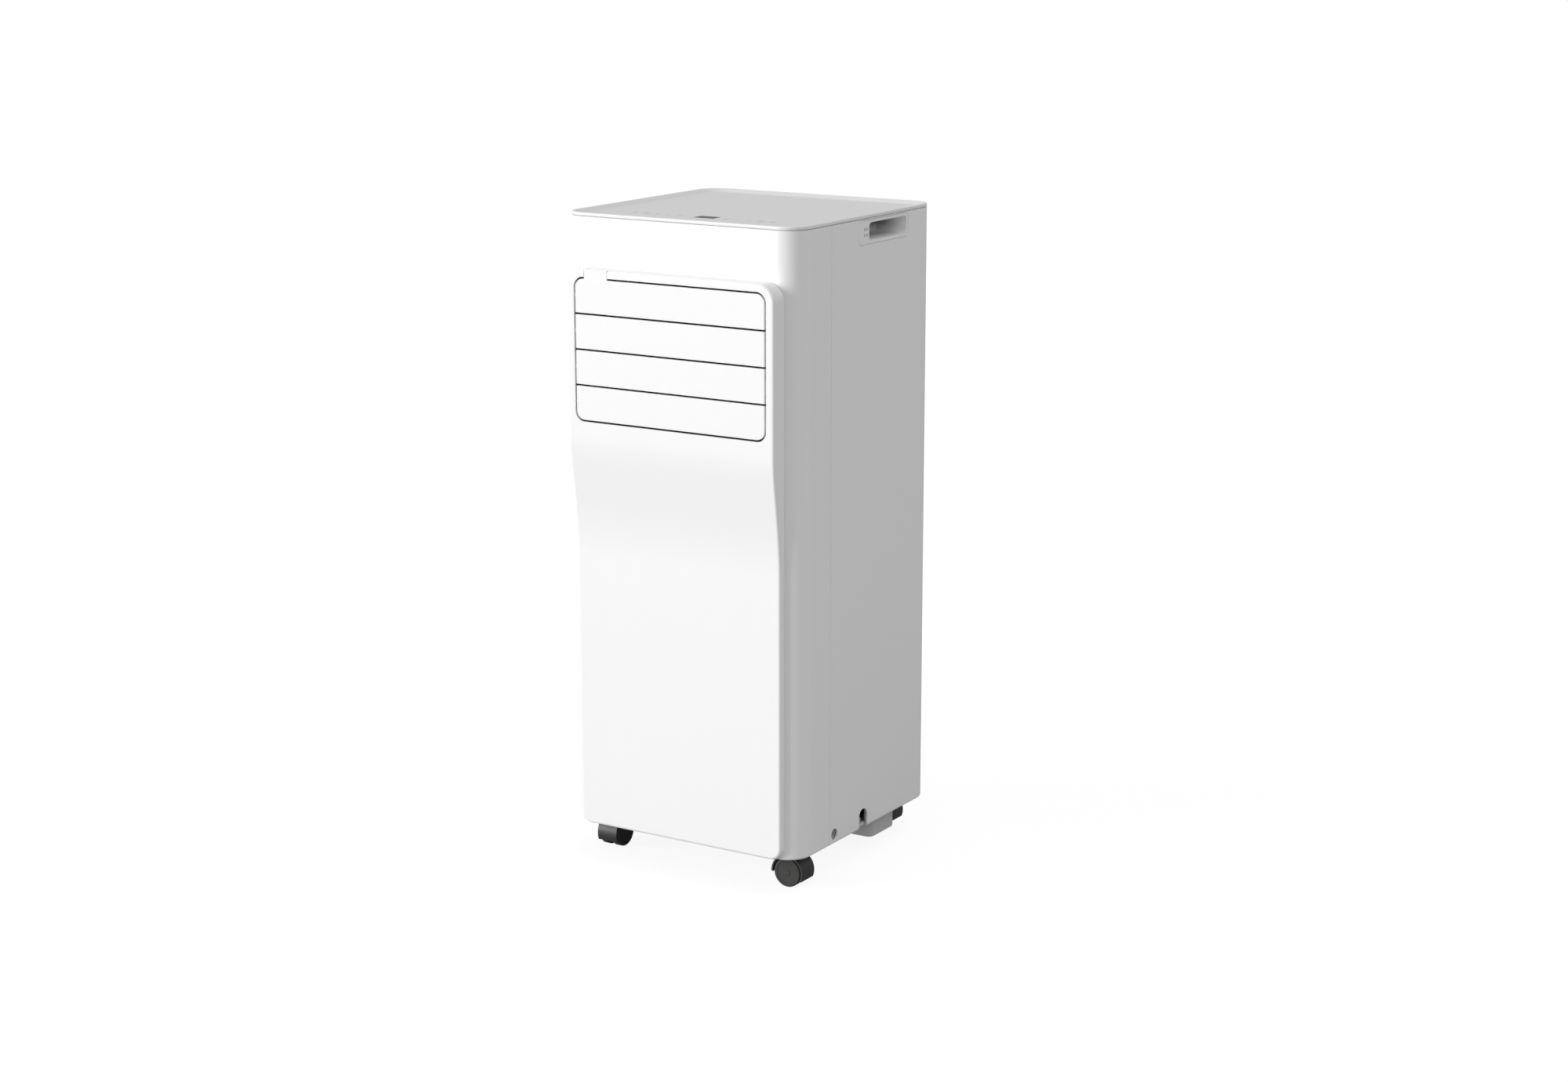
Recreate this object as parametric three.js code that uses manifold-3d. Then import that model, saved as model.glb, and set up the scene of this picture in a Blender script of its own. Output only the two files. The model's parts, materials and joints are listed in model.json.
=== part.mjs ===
// Portable air conditioner on four swivel casters, in millimetres.
// +Z is up, the front faces -Y, and the origin is on the floor under the middle of the bounding box.
import * as THREE from "three";
import { mergeVertices } from "three/addons/utils/BufferGeometryUtils.js";
import Module from "manifold-3d";

const wasm = await Module();
wasm.setup();

// ---------------------------------------------------------------- driving dimensions
const width = 306; // the body, side to side
const depth = 299; // the body, front to back, without the raised front panel
const shellHeight = 700;
const cornerRadius = 27; // vertical corners of the body, in plan
const floorGap = 43; // under the shells
const wall = 2.5; // moulded wall thickness
const gap = 0.4; // between neighbouring parts
const frontShellDepth = 69; // how far the front shell wraps round the sides

const lidGap = 0.6; // shadow line under the top panel
const lidEdge = 3.6; // visible thickness of the top panel's edge
const dishDepth = 3;

const panelWidth = 270.4; // raised front panel
const panelTopZ = floorGap + 644.7;
const panelBottomZ = floorGap + 0.8;
const panelTopRadius = 20;
const panelBottomRadius = 14;
const upperBulge = 20; // how far the panel stands out at the louvres
const lowerBulge = 7;
const sweepTopZ = floorGap + 455; // the S-shaped sweep between the two
const sweepBottomZ = floorGap + 323;

const louvreCount = 4;
const louvrePitch = 39.9;
const louvreGap = 2;
const louvreHalfWidth = 123;
const louvreThickness = 3;
const louvrePivotDepth = 9; // behind the louvre's face
const windowTopZ = floorGap + 636.1;
const windowHalfWidth = 125;
const windowRadius = 12;
const crankLength = 12;
const crankRestAngle = -37.5; // degrees above the line pointing straight back

const vaneCount = 6;
const vanePitch = 40;
const vaneCrank = 14;

const wheelRadius = 17;
const wheelWidth = 9;
const casterTrail = 9;
const casterHalfWidth = 13.2;
const frontCaster = { x: 128.5, y: -105 };
const rearCaster = { x: 109, y: 133 };

const collarRadius = 68; // exhaust outlet, outside
const collarStandOff = 14; // how far it stands out of the back

// ---------------------------------------------------------------- values worked out from them
const shellTopZ = floorGap + shellHeight;
const lidTopZ = shellTopZ + lidGap + lidEdge;
const frontY = -depth / 2;
const backY = depth / 2;
const sideX = width / 2;
const seamY = frontY + frontShellDepth;
const upperFaceY = frontY - upperBulge;
const windowBottomZ = windowTopZ - louvreCount * louvrePitch - louvreGap;
const louvreHeight = louvrePitch - louvreGap;
const louvreZ = (i) => windowTopZ - louvreGap - louvreHeight / 2 - i * louvrePitch;
const louvrePivotY = upperFaceY + louvrePivotDepth;
const crankY = crankLength * Math.cos(THREE.MathUtils.degToRad(crankRestAngle));
const crankZ = crankLength * Math.sin(THREE.MathUtils.degToRad(crankRestAngle));
const ductX = 128; // inside of the outlet frame
const ductBottomZ = windowBottomZ - 3;
const ductTopZ = windowTopZ + 2;
const ductRadius = 14.5; // its upper corners, outside
const ductFrontY = upperFaceY + wall + 1;
const ductBackY = -100;
const vanePivotY = -120;
const vaneBottomZ = ductBottomZ + 6.5;
const vaneTopZ = ductTopZ - 3;
const axleZ = wheelRadius;

// ---------------------------------------------------------------- finishes
const finish = (color, roughness, metalness = 0) =>
  new THREE.MeshStandardMaterial({ color, roughness, metalness });
const white = finish(0xf3f3f3, 0.5);
const paleGrey = finish(0xd4d4d4, 0.45);
const midGrey = finish(0xa9a9a9, 0.55);
const black = finish(0x222224, 0.5);
const display = finish(0x050505, 0.1);
const steel = finish(0xb8babd, 0.35, 1);
const aluminium = finish(0xc9ccd0, 0.4, 1);
const copper = finish(0xb66b42, 0.35, 1);
const darkMetal = finish(0x2b2d30, 0.45, 0.6);
const foam = finish(0xe9e9e6, 0.9);
const filterGrey = finish(0x5d6064, 0.8);
const board = finish(0x1d5a35, 0.6);

// ---------------------------------------------------------------- geometry and solids
const up = new THREE.Vector3(0, 0, 1);

function box(x0, x1, y0, y1, z0, z1) {
  return new THREE.BoxGeometry(x1 - x0, y1 - y0, z1 - z0).translate(
    (x0 + x1) / 2,
    (y0 + y1) / 2,
    (z0 + z1) / 2,
  );
}

// A cylinder between two places on a line along X, Y or Z; a and b are the line's other two coordinates.
function rod(axis, radius, from, to, a, b, sides = 16) {
  const shape = new THREE.CylinderGeometry(radius, radius, to - from, sides);
  const middle = (from + to) / 2;
  if (axis === "x") return shape.rotateZ(Math.PI / 2).translate(middle, a, b);
  if (axis === "y") return shape.translate(a, middle, b);
  return shape.rotateX(Math.PI / 2).translate(a, b, middle);
}

// A rectangle with round corners: the radii are those of its upper and its lower pair of corners.
function roundedRectangle(x0, x1, y0, y1, upper, lower = upper) {
  const quarter = Math.PI / 2;
  return new THREE.Shape()
    .absarc(x1 - lower, y0 + lower, lower, -quarter, 0)
    .absarc(x1 - upper, y1 - upper, upper, 0, quarter)
    .absarc(x0 + upper, y1 - upper, upper, quarter, 2 * quarter)
    .absarc(x0 + lower, y0 + lower, lower, 2 * quarter, 3 * quarter);
}

const polygon = (points) => new THREE.Shape(points.map(([a, b]) => new THREE.Vector2(a, b)));

function extrude(shape, length, segments) {
  return new THREE.ExtrudeGeometry(shape, {
    depth: length,
    bevelEnabled: false,
    curveSegments: segments,
  });
}

// Prisms of a shape drawn in plan (x, y), from the front (x, z) and from the side (y, z).
const planPrism = (shape, z0, z1, segments = 6) =>
  extrude(shape, z1 - z0, segments).translate(0, 0, z0);
const frontPrism = (shape, y0, y1, segments = 6) =>
  extrude(shape, y1 - y0, segments)
    .rotateX(Math.PI / 2)
    .translate(0, y1, 0);
const sideToWorld = new THREE.Matrix4().makeBasis(
  new THREE.Vector3(0, 1, 0),
  new THREE.Vector3(0, 0, 1),
  new THREE.Vector3(1, 0, 0),
);
const sidePrism = (shape, x0, x1, segments = 6) =>
  extrude(shape, x1 - x0, segments).applyMatrix4(sideToWorld).translate(x0, 0, 0);

// A pyramid-like solid between two rectangles that lie in planes along X.
function taperedPocket(x0, [y0, y1, z0, z1], x1, [a0, a1, b0, b1]) {
  const corners = (x, c0, c1, d0, d1) => [x, c0, d0, x, c1, d0, x, c1, d1, x, c0, d1];
  const geometry = new THREE.BufferGeometry();
  const positions = [...corners(x0, y0, y1, z0, z1), ...corners(x1, a0, a1, b0, b1)];
  geometry.setAttribute("position", new THREE.Float32BufferAttribute(positions, 3));
  const sides = [0, 1, 2, 3].flatMap((i) => {
    const next = (i + 1) % 4;
    return [i, next, next + 4, i, next + 4, i + 4];
  });
  const faces = [...sides, 0, 2, 1, 0, 3, 2, 4, 5, 6, 4, 6, 7];
  geometry.setIndex(x1 > x0 ? faces : faces.reverse());
  return geometry;
}

function solid(geometry) {
  const bare = new THREE.BufferGeometry();
  bare.setAttribute("position", geometry.getAttribute("position").clone());
  if (geometry.index) bare.setIndex(geometry.index.clone());
  const merged = mergeVertices(bare, 1e-4);
  return new wasm.Manifold(
    new wasm.Mesh({
      numProp: 3,
      vertProperties: new Float32Array(merged.getAttribute("position").array),
      triVerts: new Uint32Array(merged.index.array),
    }),
  );
}

const join = (...geometries) => geometries.map(solid).reduce((a, b) => a.add(b));
const cut = (body, ...geometries) => geometries.reduce((a, g) => a.subtract(solid(g)), body);

function toGeometry(body) {
  const result = body.getMesh();
  return new THREE.BufferGeometry()
    .setAttribute("position", new THREE.BufferAttribute(result.vertProperties, 3))
    .setIndex(new THREE.BufferAttribute(result.triVerts, 1));
}

// ---------------------------------------------------------------- the scene graph
const airConditioner = new THREE.Group();
airConditioner.position.y = (upperBulge - collarStandOff) / 2; // centres the bounding box

function place(name, shape, material, parent = airConditioner, position = [0, 0, 0]) {
  const geometry = shape.isBufferGeometry ? shape : toGeometry(shape);
  geometry.computeVertexNormals();
  const part = new THREE.Mesh(geometry, material);
  part.name = name;
  part.position.set(...position);
  parent.add(part);
  return part;
}

// ---------------------------------------------------------------- openings shared by shells and inserts
const handle = { y0: -23.4, y1: 86.6, z0: floorGap + 672, z1: floorGap + 698.4, radius: 6 };
const pocket = { y0: -0.5, y1: 82.8, z0: floorGap + 675.5, z1: floorGap + 695.2 };
const upperIntake = { x0: -120, x1: 120, z0: 462, z1: 688, slotRows: 14 };
const lowerIntake = { x0: -120, x1: 120, z0: 86, z1: 236, slotRows: 9 };
const collarZ = 316;
const collarSides = 32;
const upperDrain = { x: 96, z: 418 };
const lowerDrain = { x: 60, z: 71.5 };
const drainHole = 8; // radii
const drainShank = 7;
const drainFlange = 11;
const gland = { x: -104, z: 300, hole: 9.2, body: 8.4, flange: 12, bore: 4.2 };
const past = 5; // how far a cutter runs past the wall it cuts
const filterY0 = 115;
const filterThickness = 5;
const upperFilterZ = [470, 680];
const lowerFilterZ = [90, 230];
const screw = { y: -69.7, z: floorGap + 11.3, radius: 6.7 };
const notch = { y0: -14.7, y1: 3.9, z1: floorGap + 23.6 };

const planOutline = (inset) =>
  roundedRectangle(
    -sideX + inset,
    sideX - inset,
    frontY + inset,
    backY - inset,
    cornerRadius - inset,
  );

// ---------------------------------------------------------------- outer shells
function shellWall() {
  const outside = solid(planPrism(planOutline(0), floorGap, shellTopZ));
  return cut(outside, planPrism(planOutline(wall), floorGap - 1, shellTopZ + 1));
}

function frontShell() {
  const half = shellWall().intersect(
    solid(box(-sideX - 1, sideX + 1, frontY - 1, seamY - 0.25, 0, shellTopZ + 1)),
  );
  const ductHole = box(
    -ductX - wall - gap,
    ductX + wall + gap,
    frontY - past,
    frontY + past,
    ductBottomZ - wall - gap,
    ductTopZ + wall + gap,
  );
  return cut(half, ductHole);
}

function sideNotch() {
  const radius = (notch.y1 - notch.y0) / 2;
  const shape = new THREE.Shape()
    .moveTo(notch.y0, floorGap - 1)
    .lineTo(notch.y1, floorGap - 1)
    .absarc((notch.y0 + notch.y1) / 2, notch.z1 - radius, radius, 0, Math.PI);
  return sidePrism(shape, -sideX - past, sideX + past);
}

function rearShell() {
  const half = shellWall().intersect(
    solid(box(-sideX - 1, sideX + 1, seamY + 0.25, backY + 1, 0, shellTopZ + 1)),
  );
  const intake = ({ x0, x1, z0, z1 }) =>
    frontPrism(roundedRectangle(x0, x1, z0, z1, 8), backY - past, backY + past, 2);
  const handleHole = roundedRectangle(
    handle.y0 - gap,
    handle.y1 + gap,
    handle.z0 - gap,
    handle.z1 + gap,
    handle.radius + gap,
  );
  const filterSlot = ([z0, z1]) =>
    box(
      -sideX - past,
      -sideX + past,
      filterY0 - 0.8,
      filterY0 + filterThickness + 0.8,
      z0 - 1,
      z1 + 1,
    );
  return cut(
    half,
    intake(upperIntake),
    intake(lowerIntake),
    sidePrism(handleHole, -sideX - past, sideX + past, 3),
    rod("x", screw.radius, -sideX - past, sideX + past, screw.y, screw.z, 12),
    sideNotch(),
    filterSlot(upperFilterZ),
    filterSlot(lowerFilterZ),
    rod("y", collarRadius + gap, backY - past, backY + past, 0, collarZ, collarSides),
    rod("y", drainHole, backY - past, backY + past, upperDrain.x, upperDrain.z, 12),
    rod("y", drainHole, backY - past, backY + past, lowerDrain.x, lowerDrain.z, 12),
    rod("y", gland.hole, backY - past, backY + past, gland.x, gland.z, 12),
  );
}

place("front_shell", frontShell(), white);
place("rear_shell", rearShell(), white);

// ---------------------------------------------------------------- top panel with its display
const displayPlace = { x0: -11, x1: 15, y0: -102.5, y1: -85.5 };
const displayThickness = 1.3;
const seatDepth = displayThickness + 0.3;

function topPanel() {
  const bottomZ = shellTopZ + lidGap;
  const floorZ = lidTopZ - dishDepth;
  const edge = planPrism(planOutline(0), bottomZ, lidTopZ);
  const core = planPrism(planOutline(wall + gap), floorZ - wall, bottomZ + 1);
  const skirt = (y) => box(-110, 110, y - 1, y + 1, shellTopZ - 9, bottomZ + 1);
  const skirtY = backY - wall - 1.6;
  // The dish: a shallow pyramid, turned so that its planes lie level.
  const dish = taperedPocket(
    0,
    [-sideX + 9, sideX - 9, frontY + 11, backY - 9],
    -dishDepth,
    [-sideX + 22, sideX - 22, frontY + 24, backY - 28],
  );
  const levelled = new THREE.Matrix4().makeBasis(
    new THREE.Vector3(0, 0, 1),
    new THREE.Vector3(1, 0, 0),
    new THREE.Vector3(0, 1, 0),
  );
  dish.applyMatrix4(levelled).translate(0, 0, lidTopZ);
  const over = box(-sideX + 9, sideX - 9, frontY + 11, backY - 9, lidTopZ, lidTopZ + 1);
  const { x0, x1, y0, y1 } = displayPlace;
  const displaySeat = box(x0 - gap, x1 + gap, y0 - gap, y1 + gap, floorZ - seatDepth, floorZ + 1);
  return cut(
    join(edge, core, skirt(frontY + wall + 1.6), skirt(skirtY)),
    dish,
    over,
    displaySeat,
  );
}

place("top_panel", topPanel(), paleGrey);
place(
  "display_window",
  box(
    displayPlace.x0,
    displayPlace.x1,
    displayPlace.y0,
    displayPlace.y1,
    lidTopZ - dishDepth - displayThickness,
    lidTopZ - dishDepth,
  ),
  display,
);
place("display_board", box(-66, 100, -117, -77, lidTopZ - 11, lidTopZ - 9.4), board);

// ---------------------------------------------------------------- raised front panel
function sweptProfile(inset, back) {
  const faceY = (bulge) => frontY - bulge + inset;
  return new THREE.Shape()
    .moveTo(back, panelBottomZ - 5)
    .lineTo(back, panelTopZ + 5)
    .lineTo(faceY(upperBulge), panelTopZ + 5)
    .lineTo(faceY(upperBulge), sweepTopZ)
    .bezierCurveTo(
      faceY(upperBulge),
      sweepTopZ - 30,
      faceY(lowerBulge + 1),
      sweepTopZ - 60,
      faceY(lowerBulge),
      sweepBottomZ,
    )
    .lineTo(faceY(lowerBulge), panelBottomZ - 5);
}

const tab = { x0: -110.7, x1: -80.4 }; // finger tab on the top louvre

function frontPanel() {
  const half = panelWidth / 2;
  const outline = (inset) =>
    roundedRectangle(
      -half + inset,
      half - inset,
      panelBottomZ + inset,
      panelTopZ - inset,
      panelTopRadius - inset,
      panelBottomRadius - inset,
    );
  const outside = solid(frontPrism(outline(0), frontY - 30, frontY + 6, 5)).intersect(
    solid(sidePrism(sweptProfile(0, frontY + 5), -half - 1, half + 1, 8)),
  );
  const inside = solid(frontPrism(outline(wall), frontY - 30, frontY + 7, 5)).intersect(
    solid(sidePrism(sweptProfile(wall, frontY + 6), -half - 1, half + 1, 8)),
  );
  const window = roundedRectangle(
    -windowHalfWidth,
    windowHalfWidth,
    windowBottomZ,
    windowTopZ,
    windowRadius,
  );
  const tabNotch = box(
    tab.x0 - 0.6,
    tab.x1 + 0.6,
    upperFaceY - 1,
    upperFaceY + 9.5,
    windowTopZ - 1,
    panelTopZ + 1,
  );
  return cut(
    outside.subtract(inside),
    planPrism(planOutline(-gap), 0, shellTopZ),
    frontPrism(window, upperFaceY - 1, upperFaceY + wall + 1),
    tabNotch,
  );
}

place("front_panel", frontPanel(), white);

// ---------------------------------------------------------------- outlet frame, louvres and vanes
const pinSides = 8;
const journalHole = 3;
const journal = 2.5;
const pin = 2;
const pinHole = 2.5;
const vanePin = 1.75;
const vanePinHole = 2.15;

const vaneX = (i) => (i - (vaneCount - 1) / 2) * vanePitch;
const louvreNumbers = [...Array(louvreCount).keys()];
const vaneNumbers = [...Array(vaneCount).keys()];

function outletFrame() {
  const outX = ductX + wall;
  const section = (inset) =>
    roundedRectangle(
      -outX + inset,
      outX - inset,
      ductBottomZ - wall + inset,
      ductTopZ + wall - inset,
      ductRadius - inset,
      3 - inset,
    );
  const tube = frontPrism(section(0), ductFrontY, ductBackY, 5);
  const rim = (z0, z1) => box(-118, 118, frontY + wall + gap, frontY + wall + 2.4, z0, z1);
  const bore = frontPrism(section(wall), ductFrontY - 1, ductBackY + 1, 5);
  const louvreHoles = louvreNumbers.map((i) =>
    rod("x", journalHole, -outX - 1, outX + 1, louvrePivotY, louvreZ(i), pinSides),
  );
  const vaneHoles = vaneNumbers.map((i) =>
    rod("z", pinHole, ductBottomZ - wall - 1, ductTopZ + wall + 1, vaneX(i), vanePivotY, pinSides),
  );
  return cut(
    join(
      tube,
      rim(ductBottomZ - wall - 9, ductBottomZ - 1),
      rim(ductTopZ + 1, ductTopZ + wall + 9),
    ),
    bore,
    ...louvreHoles,
    ...vaneHoles,
  );
}

place("outlet_frame", outletFrame(), black);

// A louvre about its own hinge line: face in front, journals at both ends, crank at the right end.
// The first one and the last one have the window's round corners, and the first carries the tab.
function louvre(number) {
  const first = number === 0;
  const last = number === louvreCount - 1;
  const half = louvreHeight / 2;
  const face = -louvrePivotDepth;
  const back = face + louvreThickness;
  const ends = louvreHalfWidth - 3;
  const arm = [
    [back - 1, 8],
    [2.5, 4],
    [4, 0],
    [3, -5],
    [back - 1, -9],
  ];
  const crankArm = [
    [back - 1, 8],
    [2.5, 5],
    [crankY + 3.5, crankZ + 3],
    [crankY + 3, crankZ - 3.5],
    [crankY - 2, crankZ - 4.5],
    [back - 1, -10],
  ];
  const outline = roundedRectangle(
    -louvreHalfWidth,
    louvreHalfWidth,
    -half,
    half,
    first ? windowRadius - 2 : 0.6,
    last ? windowRadius - 2 : 0.6,
  );
  const pieces = [
    frontPrism(outline, face, back, 4),
    sidePrism(polygon(arm.reverse()), -louvreHalfWidth, -ends),
    sidePrism(polygon(crankArm.reverse()), ends, louvreHalfWidth),
    rod("x", journal, -ductX - wall + 0.5, -louvreHalfWidth + 1, 0, 0, pinSides),
    rod("x", journal, louvreHalfWidth - 1, ductX + wall - 0.5, 0, 0, pinSides),
    rod("x", pin, louvreHalfWidth - 1, ductX - 0.5, crankY, crankZ, pinSides),
  ];
  if (first) {
    const tabTop = panelTopZ - louvreZ(0) - 0.2;
    pieces.push(box(tab.x0, tab.x1, face, face + wall, half - 1.5, tabTop));
    pieces.push(box(tab.x0, tab.x1, face, -1, tabTop - 2.3, tabTop));
  }
  return join(...pieces);
}

for (const i of louvreNumbers) {
  place("louvre_" + (i + 1), louvre(i), white, airConditioner, [0, louvrePivotY, louvreZ(i)]);
}

function louvreLink() {
  const bar = { x0: louvreHalfWidth + 1.2, x1: ductX - 1.4 };
  const y = louvrePivotY + crankY;
  const pinZ = (i) => louvreZ(i) + crankZ;
  const strip = box(bar.x0, bar.x1, y - 4, y + 4, pinZ(louvreCount - 1) - 5, pinZ(0) + 5);
  return cut(
    solid(strip),
    ...louvreNumbers.map((i) => rod("x", pinHole, bar.x0 - 1, bar.x1 + 1, y, pinZ(i), pinSides)),
  );
}

place("louvre_link", louvreLink(), black);

// A vane about its own hinge line, with its crank pin under its rear edge.
function vane() {
  const blade = planPrism(roundedRectangle(-1, 1, -18, 16.5, 0.9), vaneBottomZ, vaneTopZ, 2);
  return join(
    blade,
    rod("z", pin, ductBottomZ - wall + 0.5, vaneBottomZ + 1, 0, 0, pinSides),
    rod("z", pin, vaneTopZ - 1, ductTopZ + wall - 0.5, 0, 0, pinSides),
    rod("z", vanePin, ductBottomZ + 0.6, vaneBottomZ + 1, 0, vaneCrank, pinSides),
  );
}

for (const i of vaneNumbers) {
  place("vane_" + (i + 1), vane(), black, airConditioner, [vaneX(i), vanePivotY, 0]);
}

function vaneLink() {
  const y = vanePivotY + vaneCrank;
  const z0 = ductBottomZ + 1.6;
  const z1 = z0 + 2.6;
  const strip = box(vaneX(0) - 5, vaneX(vaneCount - 1) + 5, y - 3.5, y + 3.5, z0, z1);
  return cut(
    solid(strip),
    ...vaneNumbers.map((i) => rod("z", vanePinHole, z0 - 1, z1 + 1, vaneX(i), y, pinSides)),
  );
}

place("vane_link", vaneLink(), black);

// ---------------------------------------------------------------- carrying handles
// The right cup; the left one is its mirror image, so side is 1 or -1.
function handleCup(side) {
  const plate = roundedRectangle(
    handle.y0,
    handle.y1,
    handle.z0,
    handle.z1,
    handle.radius,
  );
  const outer = sideX - 0.2;
  const inner = 116;
  const between = (a, b) => (side > 0 ? [a, b] : [-b, -a]);
  const [plate0, plate1] = between(outer - wall, outer);
  const rectangle = (extra, narrower) => [
    pocket.y0 - extra + narrower,
    pocket.y1 + extra - narrower / 2,
    pocket.z0 - extra,
    pocket.z1 + extra,
  ];
  const shrink = 16; // the pocket narrows towards its closed end
  const shell = taperedPocket(
    side * (outer - 1),
    rectangle(1.8, 0),
    side * (inner - 1.8),
    rectangle(1.8, shrink),
  );
  const hollow = taperedPocket(
    side * (outer + 1),
    rectangle(0, 0),
    side * inner,
    rectangle(0, shrink),
  );
  return cut(join(sidePrism(plate, plate0, plate1, 3), shell), hollow);
}

place("handle_cup_right", handleCup(1), paleGrey);
place("handle_cup_left", handleCup(-1), paleGrey);

// ---------------------------------------------------------------- intakes and filters
function intakeGrille({ x0, x1, z0, z1, slotRows }) {
  const face = frontPrism(
    roundedRectangle(x0 + gap, x1 - gap, z0 + gap, z1 - gap, 7.6),
    backY - 3.5,
    backY - 0.5,
    2,
  );
  const slotColumns = 2;
  const frame = 9;
  const columnWidth = (x1 - x0 - 2 * frame) / slotColumns;
  const rowHeight = (z1 - z0 - 2 * frame) / slotRows;
  const slots = [];
  for (let row = 0; row < slotRows; row++) {
    for (let column = 0; column < slotColumns; column++) {
      const x = x0 + frame + column * columnWidth;
      const z = z0 + frame + row * rowHeight;
      slots.push(
        box(x + 2, x + columnWidth - 2, backY - 9, backY + 1, z + 2, z + rowHeight - 2),
      );
    }
  }
  return cut(solid(face), ...slots);
}

place("upper_grille", intakeGrille(upperIntake), white);
place("lower_grille", intakeGrille(lowerIntake), white);

// A frame with a thin mesh, and a finger strip that closes the slot in the side wall.
function filter([z0, z1]) {
  const y1 = filterY0 + filterThickness;
  const x0 = -sideX + 0.5;
  const x1 = 126;
  const border = 8;
  const bar = 4;
  const bars = [-60, 0, 60];
  const windowX = [x0 + border, ...bars.map((x) => x + bar / 2)];
  const windowEnd = [...bars.map((x) => x - bar / 2), x1 - border];
  const recess = (y0, y2) =>
    windowX.map((x, i) => box(x, windowEnd[i], y0, y2, z0 + border, z1 - border));
  return cut(
    solid(box(x0, x1, filterY0, y1, z0, z1)),
    ...recess(filterY0 - 1, filterY0 + 2),
    ...recess(filterY0 + 3, y1 + 1),
  );
}

place("upper_filter", filter(upperFilterZ), filterGrey);
place("lower_filter", filter(lowerFilterZ), filterGrey);

// ---------------------------------------------------------------- exhaust outlet, drains and cord gland
function exhaustCollar() {
  const bore = collarRadius - wall - 1;
  const tube = rod("y", collarRadius, backY - 2, backY + collarStandOff, 0, collarZ, collarSides);
  const flange = rod("y", collarRadius + 6, backY + gap, backY + 2.4, 0, collarZ, collarSides);
  const hole = rod("y", bore, backY - 4, backY + collarStandOff + 1, 0, collarZ, collarSides);
  const lug = (angle) =>
    box(-7, 7, backY + 8, backY + 11, collarRadius - 2, collarRadius + 2.6)
      .rotateY(THREE.MathUtils.degToRad(angle))
      .translate(0, 0, collarZ);
  return cut(join(tube, flange, ...[0, 120, 240].map(lug)), hole);
}

place("exhaust_collar", exhaustCollar(), paleGrey);

function drainPlug({ x, z }) {
  return join(
    rod("y", drainFlange, backY + gap, backY + 4, x, z, 12),
    rod("y", drainShank, backY - 12, backY + 1, x, z, 12),
    box(x - 2, x + 2, backY + 3, backY + 8.5, z - 8, z + 8),
  );
}

place("upper_drain_plug", drainPlug(upperDrain), black);
place("lower_drain_plug", drainPlug(lowerDrain), black);

function cordGland() {
  const { x, z, body, flange, bore } = gland;
  const outside = join(
    rod("y", body, backY - 6, backY + 1, x, z, 12),
    rod("y", flange, backY + gap, backY + 3, x, z, 12),
  );
  return cut(outside, rod("y", bore, backY - 7, backY + 4, x, z, 8));
}

place("cord_gland", cordGland(), black);

// ---------------------------------------------------------------- base pan and casters
const panBottomZ = floorGap + 1.5;
const panTopZ = panBottomZ + 3;
const sump = { x: 138, y0: 39.5, y1: 96, z0: 15 };
const stemRadius = 4;
const shoulderRadius = 8.5; // the hood's round shoulder under the pan
const socketRadius = 9;
const axleRadius = 2;
const axleHole = 2.5;
const socketTopZ = 62;
const hoodTopZ = 39.5;
const casterPlaces = {
  front_right: { x: frontCaster.x, y: frontCaster.y, turn: 0 },
  front_left: { x: -frontCaster.x, y: frontCaster.y, turn: -90 },
  rear_right: { x: rearCaster.x, y: rearCaster.y, turn: 0 },
  rear_left: { x: -rearCaster.x, y: rearCaster.y, turn: 0 },
};

function basePan() {
  const clear = wall + gap;
  const rim = cut(
    solid(planPrism(planOutline(clear), panBottomZ, panTopZ + 14, 4)),
    planPrism(planOutline(clear + 2), panTopZ, panTopZ + 15, 4),
  );
  const sumpOutline = (inset) =>
    roundedRectangle(
      -sump.x + inset,
      sump.x - inset,
      sump.y0 + inset,
      sump.y1 - inset,
      9 - inset,
    );
  const sockets = Object.values(casterPlaces).map(({ x, y }) =>
    solid(rod("z", socketRadius, panBottomZ, socketTopZ, x, y, 12)),
  );
  const body = sockets.reduce(
    (a, b) => a.add(b),
    rim.add(solid(planPrism(sumpOutline(0), sump.z0, panTopZ, 4))),
  );
  return cut(
    body,
    planPrism(sumpOutline(wall), sump.z0 + wall, panTopZ + 1, 4),
    ...Object.values(casterPlaces).map(({ x, y }) =>
      rod("z", stemRadius + 0.5, 0, socketTopZ - 3, x, y, 12),
    ),
  );
}

place("base_pan", basePan(), midGrey);

// The hood in its own frame: stem on the origin, wheels trailing towards -X.
function casterHood() {
  const pocketRadius = wheelRadius + 1.3;
  const coverRadius = pocketRadius + 2.1; // the hood's wall over the wheels
  const cover = new THREE.Shape()
    .moveTo(-casterTrail - coverRadius, axleZ - 1)
    .absarc(-casterTrail, axleZ, coverRadius, Math.PI, -0.42, true)
    .lineTo(-casterTrail + 6, axleZ - 7);
  const block = frontPrism(cover, -casterHalfWidth, casterHalfWidth, 10);
  const neck = join(
    rod("z", shoulderRadius, axleZ + 12, hoodTopZ, 0, 0, 12),
    rod("z", stemRadius, axleZ + 12, socketTopZ - 4, 0, 0, 12),
  );
  const web = 3.2;
  const wheelPocket = (y0, y1) => rod("y", pocketRadius, y0, y1, -casterTrail, axleZ, 20);
  return cut(
    solid(block).add(neck),
    wheelPocket(web, casterHalfWidth + 1),
    wheelPocket(-casterHalfWidth - 1, -web),
    rod("y", axleHole, -casterHalfWidth, casterHalfWidth, -casterTrail, axleZ, 8),
  );
}

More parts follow.
